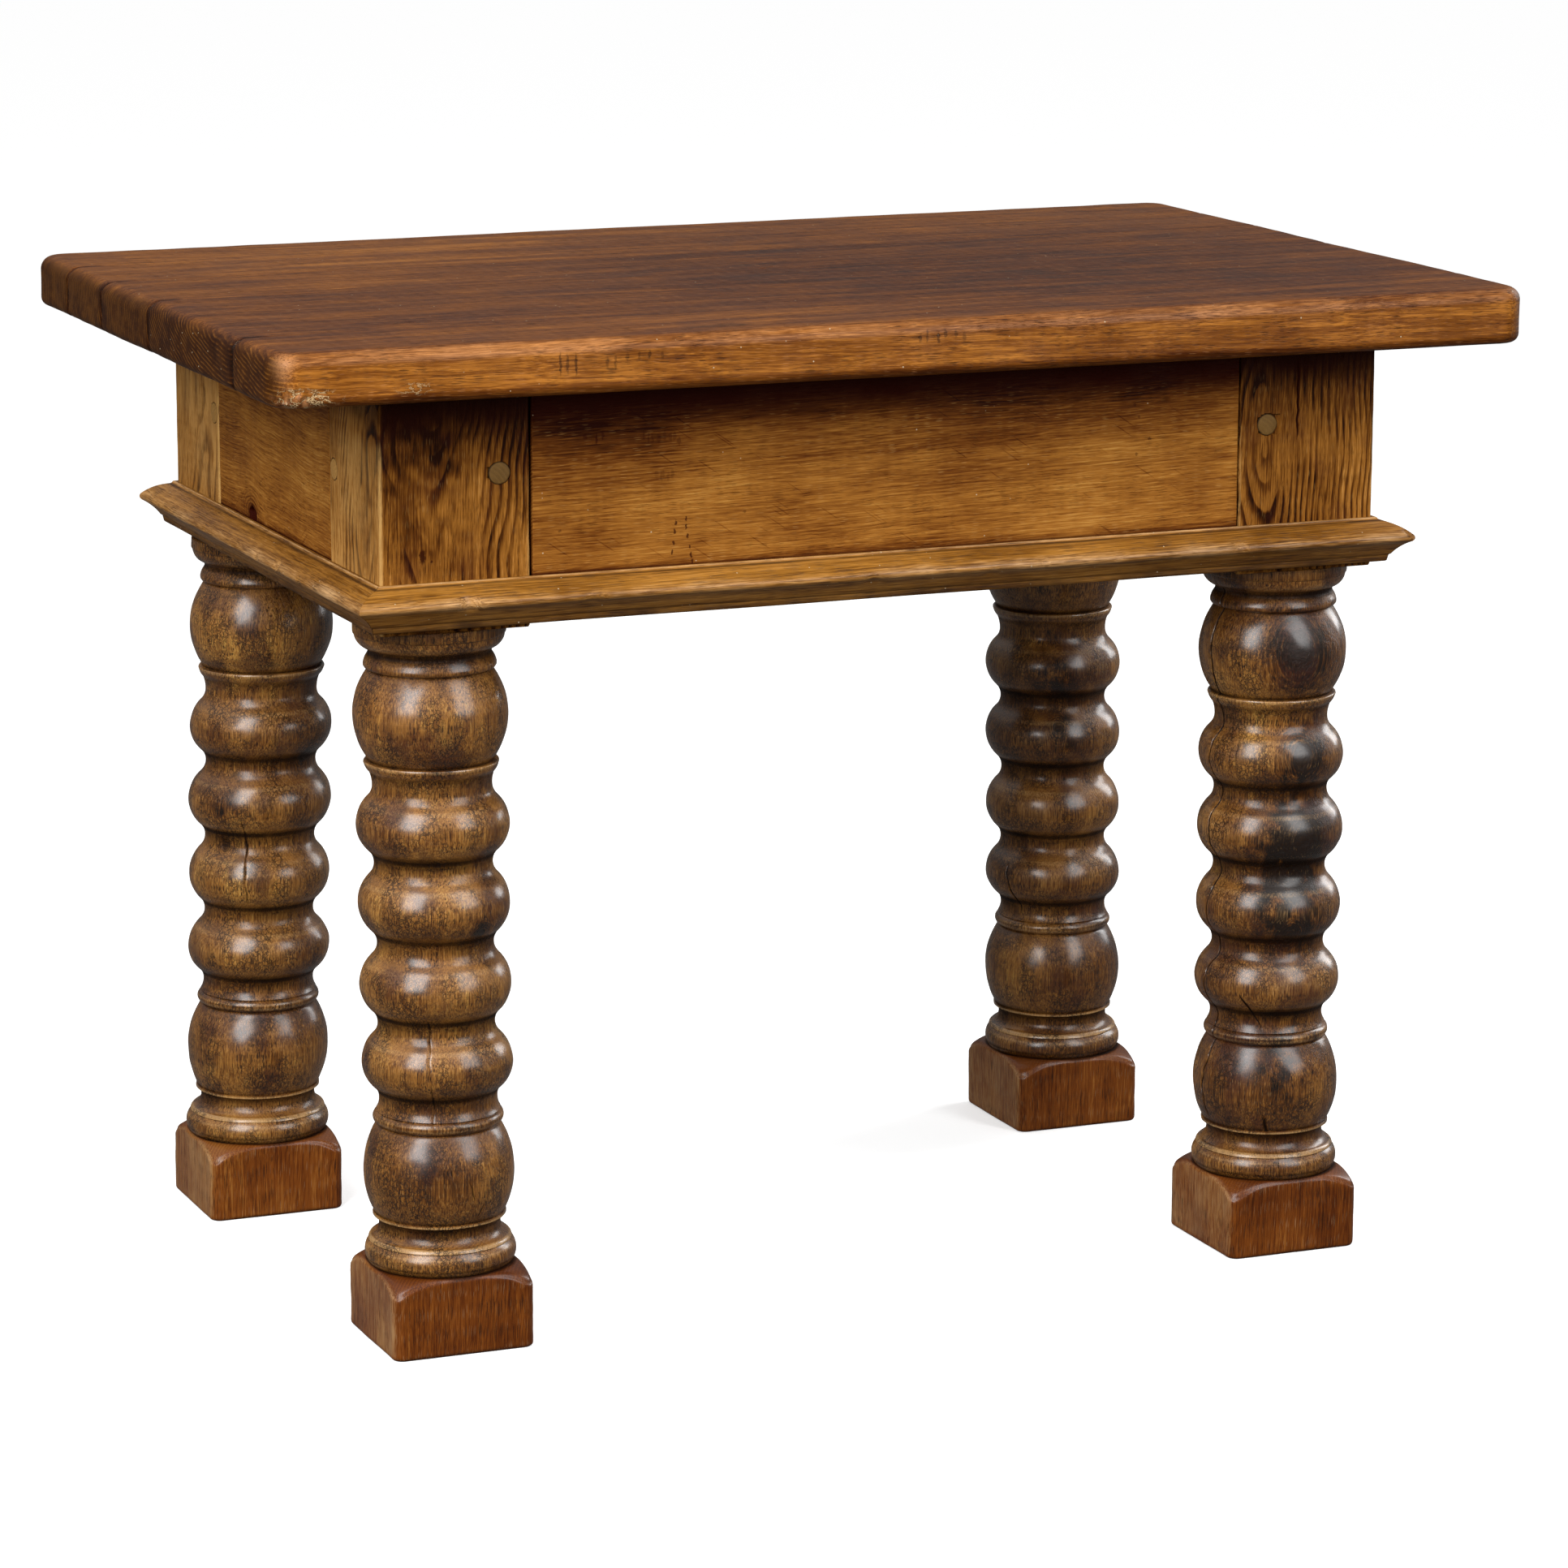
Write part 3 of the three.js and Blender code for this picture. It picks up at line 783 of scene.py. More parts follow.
def underside_drift(points, low, high):
    """The slab gets thicker from left to right where it overhangs the frame."""
    frame_low, _ = span("leg_front_left")
    _, frame_high = span("leg_back_right")
    out = np.maximum(frame_low[:2] - points[:, :2], points[:, :2] - frame_high[:2]).max(1)
    share = (points[:, 0] - low[0]) / (high[0] - low[0])
    lower = ease(points[:, 2], high[2] - 12, low[2])
    return lower * ease(out, 3, 25) * (1.5 - 3.5 * share)


# Where the pith of each board's tree lay, across and up, and how the board leans to it.
BOARD_PITHS = (
    ((-325, 1034), (0.03, -0.02)),
    ((-225, 1010), (-0.02, 0.03)),
    ((-330, 790), (0.03, 0.02)),
    ((-250, 800), (0.01, -0.03)),
    ((-180, 700), (-0.03, 0.02)),
)


def board_tone(points, number):
    """Boards differ, and the middle of the top is darker than its back and front edges."""
    own = (0.02, -0.03, -0.02, 0.03, 0.06)[number - 1]
    marks = [
        ((-300, 200, 760), 150, 0.17),
        ((250, 280, 760), 120, 0.08),
        ((150, 20, 760), 180, -0.1),
        ((120, -150, 760), 130, -0.06),
        ((-120, -250, 760), 120, 0.07),
        ((380, -200, 760), 130, -0.07),
        ((-60, -40, 760), 90, -0.07),
    ]
    return own + spots(points, marks)


def board_grid(low, high, slab_low, slab_high):
    """The grid of one board, closer at its edges and round each dent in it."""
    x = graded(slab_low[0], slab_high[0], 4.5, 27, 1.1)
    y = graded(low[1], high[1], 4, 15, 1.1)
    for dent_x, dent_y, *_ in DENTS:
        if low[1] < dent_y < high[1]:
            x = finer(x, dent_x, 8, 1)
            y = finer(y, dent_y, 6, 1)
    return box_grid(x, y, graded(low[2], high[2], 2.6, 11, 1.1))


def open_joint(points, flat, joint, side, slab_low, slab_high):
    """Opens the joint on one side of a board where it reaches the ends. Gives its darkening."""
    away = np.abs(flat[:, 1] - joint)
    from_left = flat[:, 0] - slab_low[0]
    from_right = slab_high[0] - flat[:, 0]
    nick = np.exp(-away / 1.6) * (ease(from_left, 26, 4) + 0.4 * ease(from_right, 16, 3))
    points[:, 0] -= np.sign(points[:, 0]) * 1.8 * nick
    upper = ease(points[:, 2], slab_high[2] - 10, slab_high[2])
    points[:, 2] -= upper * (1.8 * nick + 0.14 * np.exp(-away / 1.2))
    crack = 1.0 if joint < -200 else 0.25
    points[:, 1] += side * crack * np.exp(-away / 6) * ease(from_left, 70, 0)
    return 0.7 * np.exp(-away / 2.2) * ease(from_left, 34, 14)


def top_board(number, material):
    node = f"top_board_{number}"
    low, high = span(node)
    slab_low = span("top_board_1")[0]
    slab_high = span(f"top_board_{BOARDS}")[1]
    flat, faces = board_grid(low, high, slab_low, slab_high)
    points, inset, outward = round_slab(flat, slab_low, slab_high)
    points, chip = wear_slab(points, inset, outward, slab_low, slab_high)
    points[:, 2] += underside_drift(flat, slab_low, slab_high)
    tone = board_tone(points, number)
    for joint, side in ((low[1], 1), (high[1], -1)):
        if slab_low[1] + 1 < joint < slab_high[1] - 1:
            tone -= open_joint(points, flat, joint, side, slab_low, slab_high)

    under, over = flat[:, 2] - slab_low[2], slab_high[2] - flat[:, 2]
    front = np.clip(-outward[:, 1], 0, 1) * ease(inset, 12, 4)
    # The front edge is lighter, and darker along its lower rounding, which faces down: painted shade.
    tone += front * (0.08 + 0.16 * ease(over, 8, 16) - 0.3 * ease(under, 11, 3))
    # The upper arris is paler: rubbed wear and a painted highlight.
    arris_wear_and_highlight = ease(inset, 10, 5) * ease(over, 14, 7)
    wear_and_painted_light = arris_wear_and_highlight * (0.1 + front * 0.3 + 0.14 * waves(points, 90, 9)) + chip
    # A painted highlight: a pale glint on the front left corner.
    wear_and_painted_light += spots(points, [((slab_low[0] + 7, slab_low[1] + 7, slab_high[2] - 12), 7, 0.8)])
    # The underside is darker, away from its edges.
    wear_and_painted_light -= 1.2 * ease(under, 6, 0) * ease(inset, 4, 20)
    grain = tree_place(points, 0, *BOARD_PITHS[number - 1], offset=number * 1700)
    make_piece(node, points, faces, material, 0, grain, tone, wear_and_painted_light)


# ---------------------------------------- legs


class Profile:
    """A turned outline drawn downwards as (radius, height), in lines and arcs cut into steps."""

    STEP = 1.5

    def __init__(self, radius, height):
        self.points = [(radius, height)]

    def to(self, radius, height):
        r0, z0 = self.points[-1]
        steps = max(1, math.ceil(math.hypot(radius - r0, height - z0) / self.STEP))
        for step in range(1, steps + 1):
            share = step / steps
            self.points.append((r0 + (radius - r0) * share, z0 + (height - z0) * share))
        return self

    def bend(self, radius, height, bend):
        """An arc to the next point. A positive bend swells outwards, and a negative is hollow."""
        r0, z0 = self.points[-1]
        size, side = abs(bend), math.copysign(1, bend)
        chord = math.hypot(radius - r0, height - z0)
        half = math.asin(chord / 2 / size)
        rise = size * math.cos(half)
        centre_r = (r0 + radius) / 2 - side * rise * (z0 - height) / chord
        centre_z = (z0 + height) / 2 - side * rise * (radius - r0) / chord
        start = math.atan2(z0 - centre_z, r0 - centre_r)
        steps = max(3, math.ceil(2 * half * size / self.STEP))
        for step in range(1, steps + 1):
            angle = start - side * 2 * half * step / steps
            spot = (centre_r + size * math.cos(angle), centre_z + size * math.sin(angle))
            self.points.append(spot)
        return self

    def wave(self, radius, height):
        """From a crest to a hollow, or the reverse: two arcs that meet without a corner."""
        crest_share = 0.665
        r0, z0 = self.points[-1]
        falling = radius < r0
        share = crest_share if falling else 1 - crest_share
        radii = ((height - z0) ** 2 + (radius - r0) ** 2) / (2 * abs(radius - r0))
        side = 1 if falling else -1
        self.bend(r0 + share * (radius - r0), z0 + share * (height - z0), side * radii * share)
        return self.bend(radius, height, -side * radii * (1 - share))


def leg_outline():
    """The turning, from the underside of the post down to the foot block."""
    line = Profile(55.2, 543.2)
    line.to(56, 542.4).to(56, 535.4).bend(55, 534, 2)
    line.bend(46.5, 523.8, 11).to(45.4, 521.8).bend(46, 518.6, -3.2)
    line.bend(49, 511.8, 16).bend(46.8, 508.6, 2.6).to(45.6, 507.9).to(46.3, 507)
    line.bend(47, 441.5, 57.5).to(46, 440.4).to(49.4, 439.8)
    line.bend(49.6, 437.6, 1.6).bend(46.4, 432, 12).to(45.9, 431.2).bend(44, 421, -26)
    line.wave(56.3, 392).wave(43.6, 363.3).wave(56.4, 332.5).wave(43.4, 302.5)
    line.wave(56.2, 271.8).wave(43.4, 242).wave(56.2, 212).wave(43.8, 185)
    line.bend(46.2, 176, -16).to(45.6, 175.2).to(46.6, 174.6)
    line.bend(46.8, 166.8, 5).to(45.2, 165.6).to(46.4, 164.8)
    line.bend(48.2, 98, 66).to(49.6, 97.4).to(49.5, 95.8)
    line.to(47.4, 94.8).to(45.6, 92)
    line.bend(50, 81, -9.5).to(51.6, 80.4).bend(53.6, 77.6, 4).to(53.1, 76.9)
    line.bend(54, 60.4, 12.5).to(50, 60.3)
    return np.array(line.points)


# What is particular to each leg. A crack is (angle, top, bottom, depth, how far it turns as it
# falls), a knot (angle, height, size), and a patch (angle, height, size, how much lighter).
# Angles are degrees round the leg from +X.
LEG_MARKS = {
    "front_left": {
        "cracks": ((263, 150, 128, 0.6, 4), (274, 140, 112, 0.7, 10), (285, 120, 98, 0.7, -12),
                   (246, 262, 168, 0.4, 3)),
        "knots": ((292, 316, 6),),
        "patches": ((263, 464, 8, 0.5), (266, 449, 15, -0.3), (280, 521, 6, -0.5),
                    (262, 140, 20, -0.16), (285, 325, 9, -0.35), (246, 690, 34, -0.3),
                    (262, 610, 30, -0.12), (236, 570, 12, 0.2)),
        "tone": 0.06,
    },
    "front_right": {
        "cracks": ((186, 536, 100, 1.5, -4), (236, 214, 176, 1.1, 22), (241, 158, 140, 0.6, 8),
                   (231, 118, 92, 0.9, 8), (262, 712, 640, 1.2, 0)),
        "knots": ((264, 480, 17), (268, 398, 12), (271, 329, 11), (262, 256, 9)),
        "patches": ((272, 332, 18, -1.0), (258, 312, 13, -0.9), (272, 395, 16, -0.45),
                    (250, 350, 30, -0.2), (262, 262, 20, -0.5), (255, 160, 25, -0.35),
                    (225, 470, 24, 0.12), (232, 400, 20, 0.15), (255, 488, 34, -0.2),
                    (268, 480, 14, -0.35), (280, 300, 10, -0.5), (246, 285, 10, -0.35)),
        "tone": 0.0,
    },
    "back_left": {
        "cracks": ((240, 330, 250, 0.5, 6),),
        "knots": ((300, 372, 7), (215, 300, 6)),
        "patches": ((225, 335, 9, -0.4), (262, 150, 26, -0.2), (240, 440, 22, 0.12)),
        "tone": 0.05,
    },
    "back_right": {
        "cracks": ((205, 230, 180, 1.0, 8),),
        "knots": ((250, 345, 7),),
        "patches": ((262, 384, 22, -0.3), (245, 378, 20, -0.15), (255, 322, 22, -0.2)),
        "tone": 0.0,
    },
}

# The arches of grain on the front face of each post: how far its pith lies from the middle of
# the post, the height where it comes out of the front face, and how steeply it runs in.
POST_PITHS = {
    "front_left": (-20, 745, 0.4),
    "front_right": (-38, 640, 0.3),
    "back_left": (20, 760, 0.35),
    "back_right": (-15, 520, 0.3),
}


def leg_columns(half, pegs, cracks):
    """Angles round a leg: even along the faces of the post, closer at arrises, pegs, cracks."""
    angles = []
    for quarter in range(4):
        face = graded(-half, half, 3.4, 3.6, 0.9)[1:]
        if quarter in pegs:
            face = finer(face, pegs[quarter][0], 10, 1)
        angles.append(np.degrees(np.arctan(face / half)) + quarter * 90)
    angles = np.concatenate(angles)
    for angle, *_ in cracks:
        angles = angles[np.abs((angles - angle + 180) % 360 - 180) > 1.6]
        angles = np.concatenate([angles, angle + np.array([-1.3, -0.4, 0, 0.4, 1.3])])
    return np.sort(angles % 360)


def window_mean(radii, heights, reach):
    """The mean radius within reach of each height."""
    near = np.abs(heights[:, None] - heights[None, :]) < reach
    return (near * radii[None, :]).sum(1) / near.sum(1)


def post_radius(angles, half, easing=2.2):
    """The distance from the middle of a square to its side, with eased corners."""
    square = np.abs([np.cos(angles), np.sin(angles)])
    square *= half / square.max(0)
    past = np.maximum(square - (half - easing), 0) / easing
    corner = np.array(rounded(*past))
    return np.hypot(*(square + (corner - past) * easing))


def face_ways(quarter):
    """Which way is out of one face of a post, and which way is along it."""
    turn = quarter * math.pi / 2
    return np.array([math.cos(turn), math.sin(turn)]), np.array([-math.sin(turn), math.cos(turn)])


def sink_holes(rings, heights, pegs, half):
    """Opens the holes that the pegs are driven into, each in one face of the post."""
    plan = rings[:, :, :2].copy()
    for quarter, (across, height) in pegs.items():
        outward, sideways = face_ways(quarter)
        t = plan @ sideways - across
        u = heights[:, None] - height
        away = np.hypot(t, u)
        facing = plan @ outward > half - 1.5
        rim = facing & (np.abs(away - PEG_HOLE) <= 0.55)
        inside = facing & (away < PEG_HOLE - 0.55)
        scale = np.where(rim, PEG_HOLE / np.maximum(away, 1e-6), 1) - 1
        rings[:, :, :2] += (t * scale)[:, :, None] * sideways
        rings[:, :, 2] += u * scale
        rings[:, :, :2] -= inside[:, :, None] * PEG_HOLE_DEPTH * outward


def leg_pegs(name, centre):
    """For each face of the post with a peg: where the peg is across the face, and its height."""
    pegs = {}
    quarters = {"face": 3 if "front" in name else 1, "side": 2 if "left" in name else 0}
    for kind, quarter in quarters.items():
        low, high = span(f"peg_{kind}_{name}")
        x, y, z = (low + high) / 2
        sideways = face_ways(quarter)[1]
        pegs[quarter] = ((x, y) - centre) @ sideways, z
    return pegs


def leg_rows(top, pegs):
    """The rows of a leg from its top down: heights, how far each is turned, and turned radii."""
    post = graded(POST_FOOT, top, 3.6, 2.4, 0.6)
    for _, height in pegs.values():
        post = finer(post, height, 10, 1)
    square = np.zeros(len(post))
    outline = leg_outline()
    heights = np.concatenate([post[::-1], [POST_FOOT] * 2, outline[:, 1]])
    turned = np.concatenate([square, [0.4, 0.8], np.ones(len(outline))])
    radii = np.concatenate([square, [56, 56], outline[:, 0]])
    return heights, turned, radii


def leg_cracks(cracks, degrees, heights, turned, seed):
    """The angle of each point round a leg, and how deep a crack is there.

    Cracks wander as they run, and their columns with them.
    """
    rows = heights[:, None]
    angle = np.repeat(degrees[None, :], len(heights), axis=0)
    crack = np.zeros(angle.shape)
    for number, (place, top, bottom, depth, slant) in enumerate(cracks):
        wander = 1.5 * waves(rows, 60, seed + number) * (turned > 0)
        wander += slant * (0.5 - np.clip((heights - bottom) / (top - bottom), 0, 1))
        wander += 0.7 * waves(rows, 14, seed + 10 + number)
        away = (degrees - place + 180) % 360 - 180
        angle += wander[:, None] * np.exp(-((away / 12) ** 2))
        run = ease(heights, top, top - 14) * ease(heights, bottom, bottom + 14)
        run *= depth * (1 + 0.4 * waves(rows, 25, seed + 20 + number))
        crack += run[:, None] * np.exp(-((away / 0.55) ** 2))
    return np.radians(angle), crack


def leg_axis(heights, turned, centre, start, foot_centre, foot_top):
    """Where the middle of a leg lies at each row: upright in the post, leaning below it."""
    drop = (POST_FOOT - np.clip(heights, foot_top, POST_FOOT)) / (POST_FOOT - foot_top)
    axis = start + (foot_centre - start) * drop[:, None]
    axis[turned == 0] = centre
    axis[(turned > 0) & (turned < 1)] = (centre + start) / 2
    return axis


def turning_wear_and_shade(radii, heights, turned):
    """Wear down a turning, with painted shade: rubbed crests and edges, hollows darkened with painted
    shade, dirt and painted shade in grooves and under swells, and painted shade just under the post.
    """
    swell = np.clip((radii - window_mean(radii, heights, 22)) / 7, -1, 1)
    groove = np.clip((radii - window_mean(radii, heights, 3.5)) / 1.1, -1, 1)
    run, fall = np.gradient(radii), np.gradient(heights)
    overhang = np.clip(-run / np.maximum(np.hypot(run, fall), 1e-6), 0, 1)
    overhang = window_mean(overhang, heights, 8.5)
    groove_dirt_and_shade = np.clip(groove, -0.5, 0) * ease(overhang, 0.05, 0.5)
    edges = np.clip(groove - 0.2, 0, 0.6) * (0.25 + 0.75 * ease(heights, 505, 440))
    # Crests paler, and hollows and the undersides of swells darker: painted shade, with dirt in the
    # grooves.
    worn = 0.45 * swell + 1.1 * edges + 0.7 * groove_dirt_and_shade - 0.65 * overhang
    worn += 0.5 * np.exp(-((heights - FOOT_RING) ** 2))
    # Just under the post it is darkened: painted shade.
    return np.where(heights > POST_FOOT - 10, -0.3, worn) * (turned > 0)


def post_rings(points, centre, name):
    """The distance from the pith, which leans into the post from its front face and straightens."""
    aside, crossing, lean = POST_PITHS[name]
    below = crossing - np.maximum(points[:, 2], POST_FOOT)
    straightens = 130
    sunk = straightens * (1 - np.exp(-np.abs(below) / straightens)) * np.sign(below)
    pith_y = centre[1] - POST_SIDE / 2 + lean * sunk
    x = points[:, 0] - centre[0] - aside + 5 * waves(points, 90, abs(aside))
    return np.hypot(x, points[:, 1] - pith_y)


def leg(name, material, post_material):
    node = f"leg_{name}"
    marks = LEG_MARKS[name]
    seed = sorted(LEG_MARKS).index(name) * 50 + 100
    top = span(node)[1][2]
    half = POST_SIDE / 2
    side_x = -1 if "left" in name else 1
    side_y = -1 if "front" in name else 1
    centre = np.array([side_x, side_y]) * (-frame_corner() - half)
    start = centre + TURNING_START[name]
    foot_low, foot_high = span(f"foot_{name}")
    foot_centre = (foot_low + foot_high)[:2] / 2

    pegs = leg_pegs(name, centre)
    degrees = leg_columns(half, pegs, marks["cracks"])
    heights, turned, radii = leg_rows(top, pegs)
    turn, crack = leg_cracks(marks["cracks"], degrees, heights, turned, seed)
    cos, sin = np.cos(turn), np.sin(turn)
    post_row, turned_row = turned == 0, turned == 1
    rough = np.column_stack([heights, np.zeros(len(heights))])
    radii = radii + 0.3 * waves(rough, 70, seed + 31) * turned_row

    eased_foot = 0.8 * ease(heights, POST_FOOT + 1.5, POST_FOOT) * post_row
    post = post_radius(turn, half) - eased_foot[:, None]
    oval = 1 + 0.006 * np.cos(2 * turn + seed)
    radius = post * (1 - turned[:, None]) + radii[:, None] * oval * turned[:, None]
    lathe = ease(heights, POST_FOOT, POST_FOOT - 20) * ease(heights, 62, 90)
    axis = leg_axis(heights, turned, centre, start, foot_centre, foot_high[2])
    axis[:, 0] += 0.35 * lathe * waves(rough, 160, seed + 32)

    across = np.broadcast_to(heights[:, None], radius.shape)
    rings = np.stack([cos * radius, sin * radius, across], axis=-1)
    upper = rings[post_row]
    sink_holes(upper, heights[post_row], pegs, half)
    rings[post_row] = upper
    rings[:, :, :2] += axis[:, None, :]
    flat = rings.reshape(-1, 3)
    bulge = 0.3 * waves(flat, 55, seed + 33) + 0.16 * waves(flat, 16, seed + 34)
    push = bulge.reshape(turn.shape) * np.where(turned_row, 1, 0.6)[:, None] - crack
    push *= np.where(turned > 0, lathe, ease(heights, POST_FOOT, POST_FOOT + 8))[:, None]
    rings[:, :, 0] += cos * push
    rings[:, :, 1] += sin * push
    points, faces = closed_tube(rings, [*centre, top], [*foot_centre, heights[-1]])

    def around(angle, height):
        """The point on the leg's surface at an angle and a height."""
        row = np.abs(heights - height).argmin()
        way = math.radians(angle)
        x, y = axis[row] + radius[row].mean() * np.array([math.cos(way), math.sin(way)])
        return x, y, height

    rows = heights[:, None]
    head = post_row[:, None]
    wear_and_painted_light = turning_wear_and_shade(radii, heights, turned)[:, None] - np.minimum(crack * 1.5, 1.6)
    # Darkened where the turning meets the foot block: painted shade.
    wear_and_painted_light -= 0.9 * ease(rows, 68, 61)
    from_arris = half * 1.414 - post_radius(turn, half)
    wear_and_painted_light += head * 0.5 * ease(from_arris, 2.6, 0.6) * ease(rows, 700, 640)
    # The post's head darkens close under the top: partly stain and dirt, partly painted shadow of the
    # top.
    wear_and_painted_light -= head * dirt_and_shadow_under_top(rows)
    tone = marks["tone"] - np.broadcast_to(0.6 * stain_and_shadow_under_top(rows) * head, turn.shape)
    ends = [0, 0]
    tone = np.append(tone.ravel(), ends) + 0.12 * waves(points, 120, seed + 35)
    wear_and_painted_light = np.append(wear_and_painted_light.ravel(), ends)
    patches = [(around(angle, z), size, strength) for angle, z, size, strength in marks["patches"]]
    tone += spots(points, patches) * (1 + 0.7 * waves(points, 13, seed + 36))
    # The left faces of the post are paler: painted light.
    lit_from_left = left_face_lit(points, frame_corner()[0]) * (points[:, 2] > POST_FOOT)
    tone += 0.3 * lit_from_left
    wear_and_painted_light += 0.4 * lit_from_left
    knots = [(around(angle, z), size) for angle, z, size in marks["knots"]]
    pith = centre + np.array([22 * side_x, 12 * side_y]) * -side_x
    grain = tree_place(points, 2, pith, (0.02, -0.015), seed * 37, knots)
    depth = post_rings(points, centre, name)
    mesh = make_piece(node, points, faces, material, 2, grain, tone, wear_and_painted_light, knots, depth)
    change_above(mesh, POST_FOOT - 0.1, post_material)


# ---------------------------------------- rails and moulding


def box_wear(points, low, high):
    """Pale wear along the edges of a box."""
    inset = np.sort(np.minimum(points - low, high - points), axis=1)
    return ease(inset[:, 1], 3, 0)


def left_face_lit(points, left):
    """1 on a face that looks left, from that place along the table, where painted light makes it
    paler.
    """
    return ease(points[:, 0], left + 3, left + 0.6)


def stain_and_shadow_under_top(heights):
    """How much darker the frame is below the overhanging top: partly old stain, partly painted shadow
    of the top.
    """
    return 0.36 * ease(heights, 645, 700)


def dirt_and_shadow_under_top(heights):
    """Darkness close under the top: partly dirt where no cloth has reached, partly painted shadow of
    the top.
    """
    return 0.95 * ease(heights, 672, 708)


def over_moulding(heights, high, low=0):
    """1 where the frame is low enough to meet the moulding, fading out up to that far over it."""
    return ease(heights, MOULDING_TOP + high, MOULDING_TOP + low)


def rail_body(node, side, along, gaps, swell, seed, hole=None):
    """A rail along one axis, which stops at its posts but for a gap at each end.

    Gives its box, its points and faces, and 1 at each point of its outer face.
    """
    low, high = span(node)
    out = 1 - along
    shoulder = abs(frame_corner()[along]) - POST_SIDE
    low[along], high[along] = -shoulder + gaps[0], shoulder - gaps[1]
    face = abs(low[out]) if side < 0 else high[out]
    inner, outer = face - RAIL_THICK, face - 0.3
    low[out], high[out] = (-outer, -inner) if side < 0 else (inner, outer)
    lines = [graded(low[axis], high[axis], step, 3, 0.8) for axis, step in enumerate((6, 6, 3))]
    lines[along] = graded(low[along], high[along], 3.2, 3, 0.8)
    if hole:
        lines[along] = finer(lines[along], hole[0], 14, 0.9)
        lines[2] = finer(lines[2], hole[1], 11, 0.9)
    points, faces = box_grid(*lines)
    points = ease_box(points, low, high, 1.2)
    outside = ease(np.abs(points[:, out]), face - 6, face - 0.5)
    relief = 0.3 * waves(points, swell, seed + side) + 0.1 * waves(points, swell / 5, seed + 1 + side)
    points[:, out] += outside * side * (relief - 0.25)
    return (low, high), points, faces, outside


def front_rail(node, side, material):
    """The long rail at the front or the back. Its left end has shrunk away from the post."""
    box, points, faces, _ = rail_body(node, side, 0, (2.0, 0.8), 120, 41)
    z = points[:, 2]
    marks = [
        ((-233, -252, 680), 9, -0.1),
        ((-184, -252, 676), 12, -0.14),
        ((-181, -252, 648), 12, -0.1),
        ((150, -252, 690), 60, -0.06),
        ((-100, -252, 600), 90, 0.09),
        ((120, -252, 600), 120, 0.09),
    ]
    # Darker under the top, partly stain and partly painted shadow of the top; darker over the
    # moulding, painted shade.
    tone = spots(points, marks) + 0.08 * waves(points, 150, 43) - stain_and_shadow_under_top(z)
    tone -= 0.25 * over_moulding(z, 7)
    # Dark in the crease above the moulding, painted shade; and close under the top, dirt and painted
    # shadow.
    wear_and_painted_light = 0.15 * box_wear(points, *box) - 1.1 * over_moulding(z, 2.5, -1) - dirt_and_shadow_under_top(z)
    grain = tree_place(points, 0, (side * 252 - 90, 470), (0.01, 0.02), 5200 + 900 * side)
    make_piece(node, points, faces, material, 0, grain, tone, wear_and_painted_light)


def frame_corner():
    """The outer faces of the frame at the left and at the front."""
    return np.array([span("rail_left")[0][0], span("rail_front")[0][1]])


KNOT_HOLE = (54, 585)  # across the left rail, and up


def end_rail(node, side, material):
    """The short rail at an end. The left one has a knot that has fallen out."""
    hole = KNOT_HOLE if side < 0 else None
    box, points, faces, outside = rail_body(node, side, 1, (0.9, 0.8), 110, 51, hole)
    face = abs(frame_corner()[0])
    z = points[:, 2]
    # Dark in the crease above the moulding, painted shade; and close under the top, dirt and painted
    # shadow.
    wear_and_painted_light = -1.1 * over_moulding(z, 2.5, -1) - 0.6 * dirt_and_shadow_under_top(z)
    knots = []
    if hole:
        knots = [((-face, *hole), 12), ((-face, -92, 700), 7)]
        across, up = (points[:, 1] - hole[0]) / 7.5, (z - hole[1]) / 5.5
        edge = np.hypot(across, up) + 0.25 * waves(points, 9, 53)
        points[:, 0] += 6 * outside * ease(edge, 1.15, 0.6)
        wear_and_painted_light -= 1.4 * outside * ease(edge, 1.5, 0.8)
    wear_and_painted_light += 0.15 * box_wear(points, *box)
    # Darker under the top, partly stain and partly painted shadow; darker over the moulding, painted
    # shade; the left face paler, painted light.
    tone = 0.1 * waves(points, 120, 54) - 0.6 * stain_and_shadow_under_top(z) - 0.2 * over_moulding(z, 7)
    tone += 0.08 * left_face_lit(points, -face)
    pith = (side * (face - 70), 800)
    grain = tree_place(points, 1, pith, (0.02, 0.03), 8800 + 700 * side, knots)
    grain[:, 2] += 1.1 * np.sin(points[:, 1] / 17 + waves(points, 70, 55)) * ease(z, 560, 640)
    make_piece(node, points, faces, material, 1, grain, tone, wear_and_painted_light, knots)


def moulding_section(low, high, out):
    """The section of the moulding, anticlockwise: how far out from the frame, and the height."""
    line = Profile(0.3, high)
    line.to(2.6, high).to(3.2, high - 0.6)
    line.bend(5, high - 2.2, -2.4)
    line.bend(out - 1.6, high - 11.2, 40)
    line.bend(out - 1.4, high - 16.8, 3.4)
    line.to(out - 3.6, high - 18)
    line.bend(11.5, low + 6, -30)
    line.to(9.6, low + 4.6).to(9.2, low + 0.8)
    line.to(8.4, low).to(0.3, low)
    return np.array(line.points)


